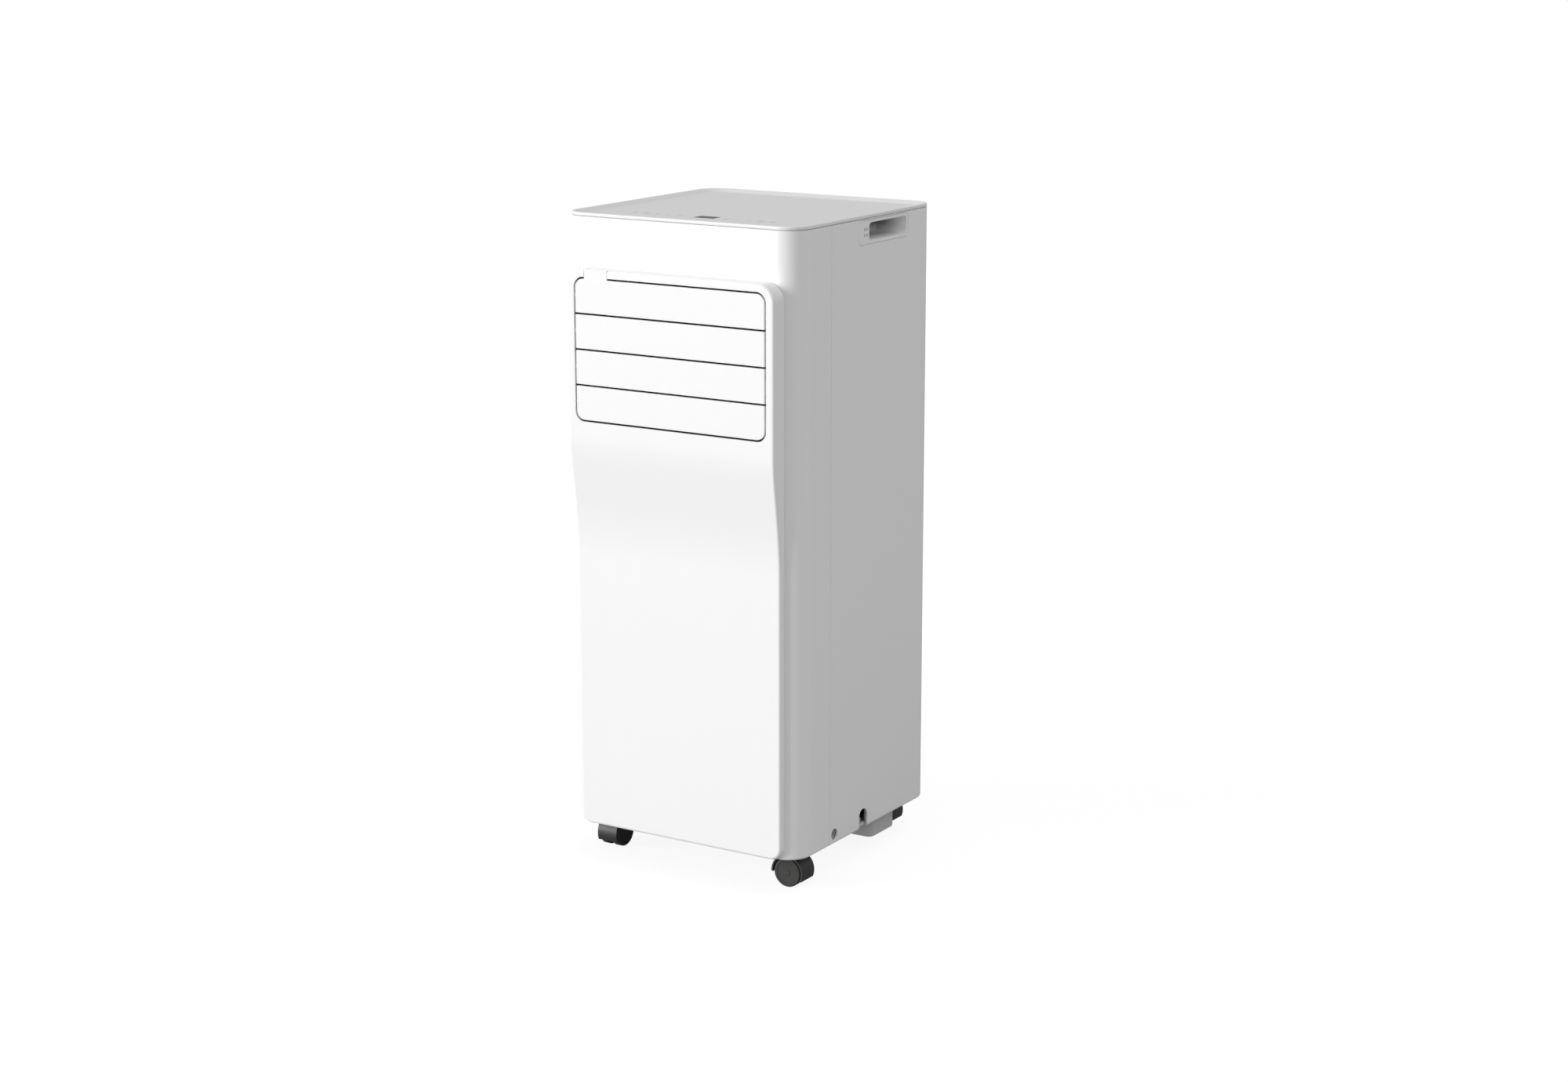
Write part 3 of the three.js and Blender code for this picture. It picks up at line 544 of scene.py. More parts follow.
def plastic(
    name, colour, roughness, grain=1500, depth=0.02, amount=0.03, wear=0, dust=0, painted_shade=0, **constants
):
    """Moulded plastic: drifting shade and gloss, mould grain, and wear, dust and a painted pocket shade
    where wanted.
    """
    surface = Surface(name, **constants)
    soft = surface.group(drift, Colour=colour, Roughness=roughness, Amount=amount)
    tone = soft["Colour"]
    layers = (
        (edge_wear, wear, grey(0.30)),
        (floor_dust, dust, (0.45, 0.43, 0.40, 1)),
        # The last layer is painted shade: near-black mixed into the deep, high part of the side pockets.
        (pocket_painted_shade, painted_shade, grey(0.10)),
    )
    for effect, strength, stain_and_shade in layers:
        if strength:
            mask = surface.group(effect, Amount=strength)["Mask"]
            tone = mix_colour(surface.tree, mask, tone, stain_and_shade)
    pits = surface.group(mould_grain, Grain=grain)["Height"]
    return surface.finish(tone, soft["Roughness"], pits, depth)


shell_white = plastic("shell_white", grey(0.93), 0.46, grain=1700, depth=0.012, amount=0.012)
lid_grey = plastic("lid_grey", grey(0.88), 0.38, grain=1300, depth=0.016, amount=0.02)
# The pocket plastic: its last amount sets how strongly painted shade darkens the inside of the pockets.
cup_grey = plastic("cup_grey", grey(0.93), 0.5, grain=1500, depth=0.015, amount=0.02, painted_shade=0.9)
pan_grey = plastic("pan_grey", grey(0.66), 0.55, grain=900, depth=0.03, amount=0.05, dust=0.35)
caster_black = plastic("caster_black", grey(0.014), 0.45, 1100, 0.03, 0.05, wear=0.2, dust=0.06)
wheel_black = plastic("wheel_black", grey(0.012), 0.55, 800, 0.04, 0.06, wear=0.25, dust=0.1)
link_black = plastic("link_black", grey(0.03), 0.45, 1200, 0.03, 0.04, wear=0.2)
plug_rubber = plastic("plug_rubber", grey(0.03), 0.75, 600, 0.05, 0.05, dust=0.1, Specular_IOR_Level=0.3)
housing_grey = plastic("housing_grey", grey(0.5), 0.6, 700, 0.04, 0.06)
fan_black = plastic("fan_black", grey(0.04), 0.5, 900, 0.03, 0.05)
mark_grey = plastic("mark_grey", grey(0.42), 0.6, 2000, 0.008, 0.05)
duct_charcoal = plastic("duct_charcoal", grey(0.035), 0.6, 1200, 0.03, 0.04)
frame_grey = plastic("frame_grey", grey(0.12), 0.5, 1200, 0.03, 0.04)
print("plastics made")

# %% [markdown]
# ## Finishes that are not plain plastic
# The display is a black window with a hard coat. The rest are seen through gaps, or when a filter is
# pulled out: drawn steel with streaks along the axle, aluminium fins, a woven filter mesh, bead foam,
# and a circuit board. Each has the one pattern that makes it recognisable.


# %% Other finishes
def streaks(surface, scale, stretch):
    """Noise drawn out along an axis by a Mapping node."""
    mapping = surface.tree.nodes.new("ShaderNodeMapping")
    mapping.inputs["Scale"].default_value = stretch
    surface.tree.links.new(surface.place, mapping.inputs["Vector"])
    return noise(surface.tree, mapping.outputs["Vector"], scale, 4, 0.6)


def bands(surface, axis, scale):
    """Straight even bands across an axis, from 0 to 1; a higher scale makes them finer."""
    node = surface.tree.nodes.new("ShaderNodeTexWave")
    node.bands_direction = axis.upper()
    node.inputs["Scale"].default_value = scale
    surface.tree.links.new(surface.place, node.inputs["Vector"])
    return node.outputs["Fac"]


def make_display():
    surface = Surface("display_black", Coat_Weight=0.1, Coat_Roughness=0.1, Specular_IOR_Level=0.12)
    soft = surface.group(drift, Colour=grey(0.003), Roughness=0.25, Amount=0.01)
    return surface.finish(soft["Colour"], soft["Roughness"], streaks(surface, 30, (1, 1, 1)), 0.004)


def make_metal(name, colour, roughness, stretch):
    surface = Surface(name, Metallic=1.0)
    lines = streaks(surface, 900, stretch)
    tone = mix_colour(surface.tree, lines, colour, tuple(c * 0.72 for c in colour[:3]) + (1,))
    return surface.finish(tone, maths(surface.tree, "MULTIPLY_ADD", lines, 0.25, roughness), lines, 0.01)


def make_fins():
    surface = Surface("coil_aluminium", Metallic=1.0)
    fins = bands(surface, "x", 70)
    tone = mix_colour(surface.tree, fins, grey(0.18), grey(0.75))
    return surface.finish(tone, maths(surface.tree, "MULTIPLY_ADD", fins, -0.2, 0.55), fins, 0.4)


def make_filter_mesh():
    surface = Surface("filter_mesh")
    warp, weft = bands(surface, "x", 60), bands(surface, "z", 60)
    thread = maths(surface.tree, "MAXIMUM", warp, weft)
    tone = mix_colour(surface.tree, thread, grey(0.015), grey(0.17))
    return surface.finish(tone, maths(surface.tree, "MULTIPLY_ADD", thread, -0.2, 0.8), thread, 0.25)


def make_foam():
    surface = Surface("foam_white")
    beads = surface.tree.nodes.new("ShaderNodeTexVoronoi")
    beads.inputs["Scale"].default_value = 260
    surface.tree.links.new(surface.place, beads.inputs["Vector"])
    edge = maths(surface.tree, "MULTIPLY", beads.outputs["Distance"], 0.35)
    tone = mix_colour(surface.tree, edge, grey(0.86), grey(0.55))
    swell = maths(surface.tree, "SUBTRACT", 1.0, beads.outputs["Distance"])
    return surface.finish(tone, maths(surface.tree, "ADD", edge, 0.75), swell, 0.5)


def make_board():
    surface = Surface("board_green", Coat_Weight=0.4, Coat_Roughness=0.2)
    tracks = surface.tree.nodes.new("ShaderNodeTexVoronoi")
    tracks.distance = "MANHATTAN"
    tracks.inputs["Scale"].default_value = 180
    surface.tree.links.new(surface.place, tracks.inputs["Vector"])
    on = maths(surface.tree, "GREATER_THAN", tracks.outputs["Distance"], 0.55)
    green, track = (0.02, 0.16, 0.06, 1), (0.05, 0.30, 0.12, 1)
    tone = mix_colour(surface.tree, on, green, track)
    return surface.finish(tone, maths(surface.tree, "MULTIPLY_ADD", on, 0.1, 0.35), on, 0.05)


display_black = make_display()
axle_steel = make_metal("axle_steel", grey(0.6), 0.25, (0.05, 1, 1))
screw_steel = make_metal("screw_steel", grey(0.7), 0.3, (1, 1, 1))
motor_dark = make_metal("motor_dark", grey(0.04), 0.4, (1, 1, 0.6))
pipe_copper = make_metal("pipe_copper", (0.72, 0.36, 0.22, 1), 0.28, (1, 1, 0.2))
coil_aluminium = make_fins()
filter_mesh = make_filter_mesh()
foam_white = make_foam()
board_green = make_board()
print("other finishes made")

# %% [markdown]
# ## Finishes on the nodes that keep their CAD shape
# The machinery inside needs no new shape: it is out of sight in normal use. Each node only gets the
# finish of its slot in the record.

# %% Dress the CAD nodes
by_slot = {
    "shell_white": shell_white,
    "duct_charcoal": duct_charcoal,
    "lid_grey": lid_grey,
    "cup_grey": cup_grey,
    "pan_grey": pan_grey,
    "caster_black": caster_black,
    "wheel_black": wheel_black,
    "axle_steel": axle_steel,
    "display_black": display_black,
    "board_green": board_green,
    "link_black": link_black,
    "plug_rubber": plug_rubber,
    "filter_mesh": filter_mesh,
    "housing_grey": housing_grey,
    "foam_white": foam_white,
    "fan_black": fan_black,
    "motor_dark": motor_dark,
    "coil_aluminium": coil_aluminium,
    "pipe_copper": pipe_copper,
}
for entry in frame["record"]["subparts"]:
    node = frame["nodes"][entry["node"]]
    node.data.materials.clear()
    node.data.materials.append(by_slot[entry["material_slot"]])

# %% [markdown]
# ## The two shells
# On the real machine a front shell and a rear shell slide together and meet in one upright line on
# each side. Both have the same plan outline, so we make the whole rounded tube once for each, open it
# at top and bottom, and let bisect keep one side of the seam. Solidify then gives the wall.


# %% Plan outline and walls
def plan_inset(point):
    """How far inside the cabinet's plan outline a point lies, in millimetres."""
    across = abs(point.x) - (side_x - corner_radius)
    deep = abs(point.y - middle_y) - (half_depth - corner_radius)
    return corner_radius - math.hypot(max(across, 0), max(deep, 0)) - min(max(across, deep), 0)


def tube_wall(name, seam, keep_front):
    """One side of the cabinet's round-cornered tube, cut off at the seam."""
    low, high = (-side_x, front_y, shell_bottom), (side_x, back_y, shell_top)
    shell = rounded_block(name, low, high, "z", corner_radius, 24)

    def lower_rim(edge):
        points = [v.co / MM for v in edge.verts]
        return all(abs(p.z - shell_bottom) < 0.01 for p in points)

    round_edges(shell, lower_rim, 3, 4)
    with editing(shell, "FACE") as mesh:
        pick(shell, mesh.faces, lambda face: abs(face.normal.z) > 0.9)
        bpy.ops.mesh.delete(type="FACE")
        bpy.ops.mesh.select_all(action="SELECT")
        bpy.ops.mesh.bisect(
            plane_co=(0, seam * MM, 0),
            plane_no=(0, 1, 0),
            clear_outer=keep_front,
            clear_inner=not keep_front,
        )
    return modify(shell, "SOLIDIFY", thickness=wall * MM, offset=-1, use_even_offset=True)


# %% Front shell
opening_half = 131  # the opening behind the louvres
opening_z = (511.5, 684.1)
opening_radius = 20
front_shell = tube_wall("front_shell_moulding", front_high.y, True)
opening_low = (-opening_half, front_y - past, opening_z[0])
opening_high = (opening_half, front_y + past + 3, opening_z[1])
cut(front_shell, rounded_block("cut", opening_low, opening_high, "y", opening_radius, 10))
soften(front_shell, 0.35)
done(front_shell, shell_white, "cabinet", "shell_white", "front_shell")

# %% [markdown]
# ## The rear shell and its openings
# The rear shell carries the hand pockets, the screw recess and the notch at its lower edge, both air
# intakes, the filter slots on the left, the exhaust hole, the drains and the cord gland. Each opening
# is cut with a solid of its own outline, a hair larger than the piece that fills it.

# %% Rear shell
cup_low, cup_high = corners("handle_cup_right")
upper_low, upper_high = corners("upper_grille")
lower_low, lower_high = corners("lower_grille")
collar_z = 316
collar_radius = 68
bezel_height = 26.4
back_cut = (back_y - 6, back_y + 6)  # both ends of a cutter through the back wall
screw_y, screw_z, screw_radius = -66.7, shell_bottom + 11.3, 6.7
notch_y = (-11.7, 6.9)
notch_top = shell_bottom + 23.6
drains = {"upper": (96, 418), "lower": (60, 71.5)}
drain_hole = 8
gland_x, gland_z, gland_hole = -104, 300, 9.2


def wall_hole(low, high, radius):
    """A cutter through the back wall, a gap larger than a piece."""
    return rounded_block(
        "cut",
        (low.x - gap, back_cut[0], low.z - gap),
        (high.x + gap, back_cut[1], high.z + gap),
        "y",
        radius,
    )


def side_notch():
    """A slot with a round top, open at the lower edge."""
    radius = (notch_y[1] - notch_y[0]) / 2
    low = (-side_x - past, notch_y[0], shell_bottom - past)
    high = (side_x + past, notch_y[1], notch_top)
    notch = block("cut", low, high)
    upper = along("x", lambda p: p.z > notch_top - 1)
    return round_edges(notch, upper, radius - 0.1, 10)


rear_shell = tube_wall("rear_shell_moulding", rear_low.y, False)
cutters = [
    wall_hole(upper_low, upper_high, 8),
    wall_hole(lower_low, lower_high, 8),
    rounded_block(
        "cut",
        (-side_x - past, cup_low.y - gap, cup_high.z - bezel_height - gap),
        (side_x + past, cup_high.y + gap, cup_high.z + gap),
        "x",
        6.4,
    ),
    rod("cut", "x", screw_radius, -side_x - past, side_x + past, screw_y, screw_z),
    side_notch(),
    rod("cut", "y", collar_radius + gap, *back_cut, 0, collar_z, 96),
    rod("cut", "y", gland_hole, *back_cut, gland_x, gland_z, 32),
]
for x, z in drains.values():
    cutters.append(rod("cut", "y", drain_hole, *back_cut, x, z, 32))
for name in ("upper_filter", "lower_filter"):
    low, high = corners(name)
    slot_low = (-side_x - past, low.y - 0.8, low.z - 1)
    slot_high = (-side_x + 6, high.y + 0.8, high.z + 1)
    cutters.append(block("cut", slot_low, slot_high))
cut(rear_shell, *cutters)
soften(rear_shell, 0.35)
done(rear_shell, shell_white, "cabinet", "shell_white", "rear_shell")

# %% [markdown]
# ## The top panel
# The lid is a shallow tray. Its rim runs round the outside, slopes down a few millimetres, and the
# flat floor in the middle carries the touch keys. Insetting the top face twice gives the rim and the
# foot of the slope, both parallel to the outline. The inner face is then pushed down.

# %% Top panel
lid_high = corners("top_panel")[1]
window_low, window_high = corners("display_window")
dish_depth = lid_high.z - window_high.z
lid_edge_z = shell_top + 0.6
rim_width, slope_width = 2.6, 12.4


def make_lid():
    low, high = (-side_x, front_y, lid_edge_z), (side_x, back_y, lid_high.z)
    lid = rounded_block("top_panel_moulding", low, high, "z", corner_radius, 24)
    with editing(lid, "FACE") as mesh:
        pick(lid, mesh.faces, lambda face: face.normal.z > 0.9)
        bpy.ops.mesh.inset(thickness=rim_width * MM)
        bpy.ops.mesh.inset(thickness=slope_width * MM)
        bpy.ops.transform.translate(value=(0, 0, -dish_depth * MM))

    def slope_edge(edge, nearest, furthest):
        flat = abs(edge.verts[0].co.z - edge.verts[1].co.z) < 1e-6
        inside = nearest < plan_inset(edge.verts[0].co / MM) < furthest
        return flat and inside and abs(edge.calc_face_angle(0)) > 0.05

    round_edges(lid, lambda edge: slope_edge(edge, 8, 20), 2.2, 4)
    round_edges(lid, lambda edge: slope_edge(edge, 1.5, 5), 0.8, 3)

    def outline_edge(edge, height):
        points = [v.co / MM for v in edge.verts]
        return all(abs(p.z - height) < 0.01 and plan_inset(p) < 0.1 for p in points)

    round_edges(lid, lambda edge: outline_edge(edge, lid_high.z), 0.9, 3)
    round_edges(lid, lambda edge: outline_edge(edge, lid_edge_z), 0.45, 2)
    inner = wall + gap
    core_low = (-side_x + inner, front_y + inner, lid_high.z - dish_depth - wall)
    core_high = (side_x - inner, back_y - inner, lid_edge_z + 0.3)
    weld(lid, rounded_block("core", core_low, core_high, "z", corner_radius - inner, 16))
    seat_low = window_low - Vector((gap, gap, 0.3))
    seat_high = window_high + Vector((gap, gap, 2))
    return cut(lid, rounded_block("cut", seat_low, seat_high, "z", 0.9, 3))


done(make_lid(), lid_grey, "cabinet", "lid_grey", "top_panel")
window = rounded_block("display_glass", window_low, window_high, "z", 0.7, 3)
done(soften(window, 0.15), display_black, "cabinet", "display_black", "display_window")

# %% [markdown]
# ## The touch keys
# The keys are printed on the flat floor of the lid, left and right of the display. Here each is a very
# thin raised shape, so that it stays crisp in the exported mesh. They are plain signs of our own: a
# ring, a bar, a cross, a dot pair and a star of three bars.

# %% Touch keys
key_z = window_high.z
key_raise = 0.08
key_row = (window_low.y + window_high.y) / 2 - 1
key_pitch = 15


def key_bar(x, y, length, turn=0, thick=0.55):
    low, high = (-length / 2, -thick / 2, key_z - 0.05), (length / 2, thick / 2, key_z + key_raise)
    return settle(rounded_block("bar", low, high, "z", thick * 0.45, 2), (x, y, 0), turn)


def key_ring(x, y, radius, thick=0.5):
    ring = rod("ring", "z", radius, key_z - 0.05, key_z + key_raise, x, y, 32)
    return cut(ring, rod("cut", "z", radius - thick, key_z - 1, key_z + 1, x, y, 32))


def key_dot(x, y, radius=0.8):
    return rod("dot", "z", radius, key_z - 0.05, key_z + key_raise, x, y, 20)


def touch_keys(side):
    """Five signs in a row; side is -1 left of the display and 1 right of it."""
    middle = (window_low.x + window_high.x) / 2
    start = 34 if side < 0 else 26
    x = [middle + side * (start + key_pitch * i) for i in range(5)]
    y = key_row
    marks = [
        key_ring(x[0], y, 2.6),
        key_bar(x[1], y, 5),
        key_bar(x[2], y, 5),
        key_bar(x[2], y, 5, 90),
        key_dot(x[3] - 1.6, y),
        key_dot(x[3] + 1.6, y),
        key_ring(x[3], y, 3.4, 0.4),
    ]
    marks += [key_bar(x[4], y, 6, turn) for turn in (0, 60, 120)]
    marks += [key_bar(at, y - 6, 4.4, thick=0.45) for at in x]
    return gather("touch_keys_left" if side < 0 else "touch_keys_right", marks)


for side in (-1, 1):
    done(touch_keys(side), mark_grey, "cabinet", "lid_grey")

# %% [markdown]
# ## The raised front panel
# The panel is one thin moulding that stands out of the front, further at the louvres than below, with
# a soft sweep between. A block gives the outline. Bisect lays level rows across the sweep, and each
# row of the face is moved back by the value of one smooth curve. Then the edge is rounded, the block
# is hollowed from behind by Solidify, and the cabinet's own outline trims the rim to fit.

# %% Front panel
panel_low, panel_high = corners("front_panel")
panel_half = panel_high.x
face_y = panel_low.y
lower_setback = 13
sweep_top, sweep_bottom = shell_bottom + 455, shell_bottom + 323
panel_radius = {"top": 20, "bottom": 14}
louvre_count, louvre_pitch, louvre_gap = 4, 39.9, 2
window_half, window_radius = 125, 12
window_top = shell_bottom + 636.1
window_bottom = window_top - louvre_count * louvre_pitch - louvre_gap
tab_x = (-110.7, -80.4)


def setback(z):
    """How far the face lies behind its foremost plane at a height: 0 above the sweep."""
    t = min(max((sweep_top - z) / (sweep_top - sweep_bottom), 0), 1)
    early = t**0.82
    return lower_setback * early * early * (3 - 2 * early)


def make_front_panel():
    low, high = (-panel_half, face_y, panel_low.z), (panel_half, front_y + 7, panel_high.z)
    panel = block("front_panel_moulding", low, high)
    middle = (panel_low.z + panel_high.z) / 2
    round_edges(panel, along("y", lambda p: p.z > middle), panel_radius["top"], 12)
    round_edges(panel, along("y", lambda p: p.z < middle), panel_radius["bottom"], 10)
    rows = 22
    with editing(panel, "VERT"):
        for i in range(rows + 1):
            z = sweep_bottom + (sweep_top - sweep_bottom) * i / rows
            bpy.ops.mesh.select_all(action="SELECT")
            bpy.ops.mesh.bisect(plane_co=(0, 0, z * MM), plane_no=(0, 0, 1))
        bpy.ops.mesh.select_all(action="DESELECT")
        mesh = bmesh.from_edit_mesh(panel.data)
        heights = sorted({round(v.co.z / MM, 3) for v in mesh.verts if v.co.z / MM < sweep_top - 0.1})
        for z in heights:
            bpy.ops.mesh.select_all(action="DESELECT")
            pick(panel, mesh.verts, lambda v: abs(v.co.z / MM - z) < 0.002 and v.co.y / MM < face_y + 0.1)
            bpy.ops.transform.translate(value=(0, setback(z) * MM, 0))

    def face_rim(edge):
        if len(edge.link_faces) != 2:
            return False
        facing = sorted(abs(face.normal.y) for face in edge.link_faces)
        front = max(v.co.y for v in edge.verts) / MM < front_y - 5
        return front and facing[0] < 0.3 and facing[1] > 0.7

    round_edges(panel, face_rim, 3.5, 5)
    with editing(panel, "FACE") as mesh:
        pick(panel, mesh.faces, lambda face: face.calc_center_median().y / MM > front_y + 6.9)
        bpy.ops.mesh.delete(type="FACE")
    modify(panel, "SOLIDIFY", thickness=wall * MM, offset=-1, use_even_offset=True)
    cabinet_low, cabinet_high = (-side_x - gap, front_y - gap, 0), (side_x + gap, back_y, shell_top)
    cabinet = rounded_block("cut", cabinet_low, cabinet_high, "z", corner_radius + gap, 24)
    hole_low = (-window_half, face_y - past, window_bottom)
    hole_high = (window_half, face_y + past, window_top)
    louvre_window = rounded_block("cut", hole_low, hole_high, "y", window_radius, 10)
    notch = block(
        "cut",
        (tab_x[0] - 0.6, face_y - 1, window_top - 1),
        (tab_x[1] + 0.6, face_y + 9.5, panel_high.z + 1),
    )
    cut(panel, cabinet, louvre_window, notch)
    return soften(panel, 0.35, 2, 50)


done(make_front_panel(), shell_white, "cabinet", "shell_white", "front_panel")

# %% [markdown]
# ## The louvres
# Four blades close the window. Each turns on two short journals and carries a crank pin at its right
# end, which a link moves. The two middle ones are alike, so one is modelled and copied. The first and
# the last differ in their corners, and the first carries the finger tab.

# %% Louvres
louvre_height = louvre_pitch - louvre_gap
louvre_half = 123
pivot_y = face_y + 9
duct_half = 128
crank_length, crank_angle = 12, math.radians(37.5)
crank = (crank_length * math.cos(crank_angle), -crank_length * math.sin(crank_angle))
journal_radius, pin_radius = 2.5, 2
rib_places = (-60, 0, 60)  # along X: the ribs behind the blades, and the bars in the filters


def blade(z, top_radius, bottom_radius):
    """The flat slab of a louvre, with its four corners and its front edge rounded."""
    low = (-louvre_half, face_y, z - louvre_height / 2)
    high = (louvre_half, face_y + 3, z + louvre_height / 2)
    slab = block("blade", low, high)
    round_edges(slab, along("y", lambda p: p.z > z), top_radius, 8)
    round_edges(slab, along("y", lambda p: p.z < z), bottom_radius, 8)

    def front_rim(edge):
        return all(v.co.y / MM < face_y + 0.01 for v in edge.verts)

    return round_edges(slab, front_rim, 0.6, 3)


def end_arm(x0, x1, z, reach, drop, half):
    """A tapered plate from the blade to a pin; drop is how far its far end is moved up."""
    below, above = 9, 8
    low, high = (x0, face_y + 2, z - below), (x1, pivot_y + reach, z + above)
    arm = block("arm", low, high)
    with editing(arm, "VERT") as mesh:
        pick(arm, mesh.verts, lambda v: v.co.y / MM > pivot_y + 1 and v.co.z / MM < z)
        bpy.ops.transform.translate(value=(0, 0, (below - half + drop) * MM))
        bpy.ops.mesh.select_all(action="DESELECT")
        pick(arm, mesh.verts, lambda v: v.co.y / MM > pivot_y + 1 and v.co.z / MM > z + above - 1)
        bpy.ops.transform.translate(value=(0, 0, (half - above + drop) * MM))
    return round_edges(arm, along("x", lambda p: p.y > pivot_y + 1), 0.85 * half, 5)


def make_louvre(name, z, top_radius=0.6, bottom_radius=0.6, tab=False):
    louvre = blade(z, top_radius, bottom_radius)
    inner = louvre_half - 3
    pieces = [
        end_arm(-louvre_half, -inner, z, 4, 0, 4),
        end_arm(inner, louvre_half, z, crank[0] + 3.5, crank[1], 3.5),
        rod("journal", "x", journal_radius, -duct_half - 2, -louvre_half + 1, pivot_y, z, 32),
        rod("journal", "x", journal_radius, louvre_half - 1, duct_half + 2, pivot_y, z, 32),
        rod("pin", "x", pin_radius, louvre_half - 1, duct_half - 0.5, pivot_y + crank[0], z + crank[1], 24),
    ]
    for x in rib_places:
        pieces.append(block("rib", (x - 0.7, face_y + 2.5, z - 15), (x + 0.7, face_y + 4.5, z + 15)))
    if tab:
        top = panel_high.z - 0.2
        edge = z + louvre_height / 2
        front = face_y + 0.2
        flap = block("flap", (tab_x[0], front, edge - 0.9), (tab_x[1], face_y + wall, top))
        lip = block("lip", (tab_x[0], front + 0.5, top - 2.3), (tab_x[1], pivot_y - 1, top))
        weld(flap, lip)
        round_edges(flap, along("x", lambda p: p.y < front + 0.1 and p.z > top - 0.1), 1.6, 4)
        pieces.append(flap)
    weld(louvre, *pieces)
    louvre.name = louvre.data.name = name
    return soften(louvre, 0.25, 2, 50)


first_z = window_top - louvre_gap - louvre_height / 2
plain = make_louvre("louvre_blade_2", first_z - louvre_pitch)
louvres = [
    make_louvre("louvre_blade_1", first_z, top_radius=window_radius - 2, tab=True),
    plain,
    twin(plain, "louvre_blade_3", (0, 0, -louvre_pitch)),
    make_louvre("louvre_blade_4", first_z - 3 * louvre_pitch, bottom_radius=window_radius - 2),
]
for number, louvre in enumerate(louvres, 1):
    body = "louvre_" + str(number)
    done(louvre, shell_white, body, "shell_white", body)

# %% [markdown]
# ## The outlet frame and its vanes
# Behind the louvres, a short square duct leads the air out. Its side walls hold the louvre journals,
# and its floor and roof hold six upright vanes. The vane is modelled once, with a thin trailing edge,
# and copied along the duct.

# %% Outlet frame
duct_low, duct_high = corners("outlet_frame")
duct_floor, duct_roof = window_bottom - 3, window_top + 2
vane_count = 6
vane_reach, vane_tail, vane_crank = 18, 16.5, 14
vane_xs = [sum(corner.x for corner in corners("vane_" + str(i + 1))) / 2 for i in range(vane_count)]
vane_y = corners("vane_1")[0].y + vane_reach


def make_outlet_frame():
    low = (-duct_half - wall, duct_low.y, duct_floor - wall)
    high = (duct_half + wall, duct_high.y, duct_roof + wall)
    middle = (low[2] + high[2]) / 2
    frame_tube = block("outlet_frame_moulding", low, high)
    round_edges(frame_tube, along("y", lambda p: p.z > middle), 14.5, 8)
    round_edges(frame_tube, along("y", lambda p: p.z < middle), 3, 4)
    with editing(frame_tube, "FACE") as mesh:
        pick(frame_tube, mesh.faces, lambda face: abs(face.normal.y) > 0.9)
        bpy.ops.mesh.delete(type="FACE")
    modify(frame_tube, "SOLIDIFY", thickness=wall * MM, offset=-1, use_even_offset=True)
    flange_y = (front_y + wall + gap, front_y + wall + 2.4)
    for z0, z1 in ((duct_low.z, low[2] + 1.5), (high[2] - 1.5, duct_high.z)):
        flange = block("flange", (-118, flange_y[0], z0), (118, flange_y[1], z1))
        weld(frame_tube, flange)
    louvre_zs = [first_z - i * louvre_pitch for i in range(louvre_count)]
    journal_holes = [
        rod("cut", "x", journal_radius + 0.5, -duct_half - past, duct_half + past, pivot_y, z, 24)
        for z in louvre_zs
    ]
    vane_holes = [
        rod("cut", "z", pin_radius + 0.5, low[2] - past, high[2] + past, x, vane_y, 24) for x in vane_xs
    ]
    cut(frame_tube, gather("cut", journal_holes), gather("cut", vane_holes))
    return soften(frame_tube, 0.3, 2, 50)


done(make_outlet_frame(), duct_charcoal, "cabinet", "duct_charcoal", "outlet_frame")


# %% Vanes
def make_vane():
    x = vane_xs[0]
    z0, z1 = duct_floor + 6.5, duct_roof - 3
    low, high = (x - 1, vane_y - vane_reach, z0), (x + 1, vane_y + vane_tail, z1)
    vane = block("vane_blade_1", low, high)
    with editing(vane, "FACE") as mesh:
        pick(vane, mesh.faces, lambda face: face.normal.y < -0.9)
        bpy.ops.transform.resize(value=(0.55, 1, 1), center_override=Vector((x, vane_y, 0)) * MM)
    round_edges(vane, along("z"), 0.5, 3)
    weld(
        vane,
        rod("pin", "z", pin_radius, duct_floor - 2, z0 + 1, x, vane_y, 24),
        rod("pin", "z", pin_radius, z1 - 1, duct_roof + 2, x, vane_y, 24),
        rod("pin", "z", 1.75, duct_floor + 0.6, z0 + 1, x, vane_y + vane_crank, 24),
    )
    return soften(vane, 0.2, 2, 60)


first_vane = make_vane()
vanes = [first_vane]
for number, x in enumerate(vane_xs[1:], 2):
    vanes.append(twin(first_vane, "vane_blade_" + str(number), (x - vane_xs[0], 0, 0)))
for number, vane in enumerate(vanes, 1):
    body = "vane_" + str(number)
    done(vane, duct_charcoal, body, "duct_charcoal", body)

# %% [markdown]
# ## The hand pockets
# Each side has a pocket to lift the machine by: a flat bezel let into the shell, with a tub behind it
# that narrows towards its closed end. A rib in the tub stiffens it. The tub is made from a block whose
# inner end is drawn in, and the hollow is the same shape, one wall smaller.

# %% Hand pockets
pocket_y = (cup_low.y + 22.9, cup_high.y - 3.8)
pocket_z = (cup_high.z - 22.9, cup_high.z - 3.2)
pocket_middle = (sum(pocket_y) / 2, sum(pocket_z) / 2)
pocket_end = 116
front_taper, back_taper = 16, 8
rib_y = (49, 51.4)
bezel_x = cup_high.x


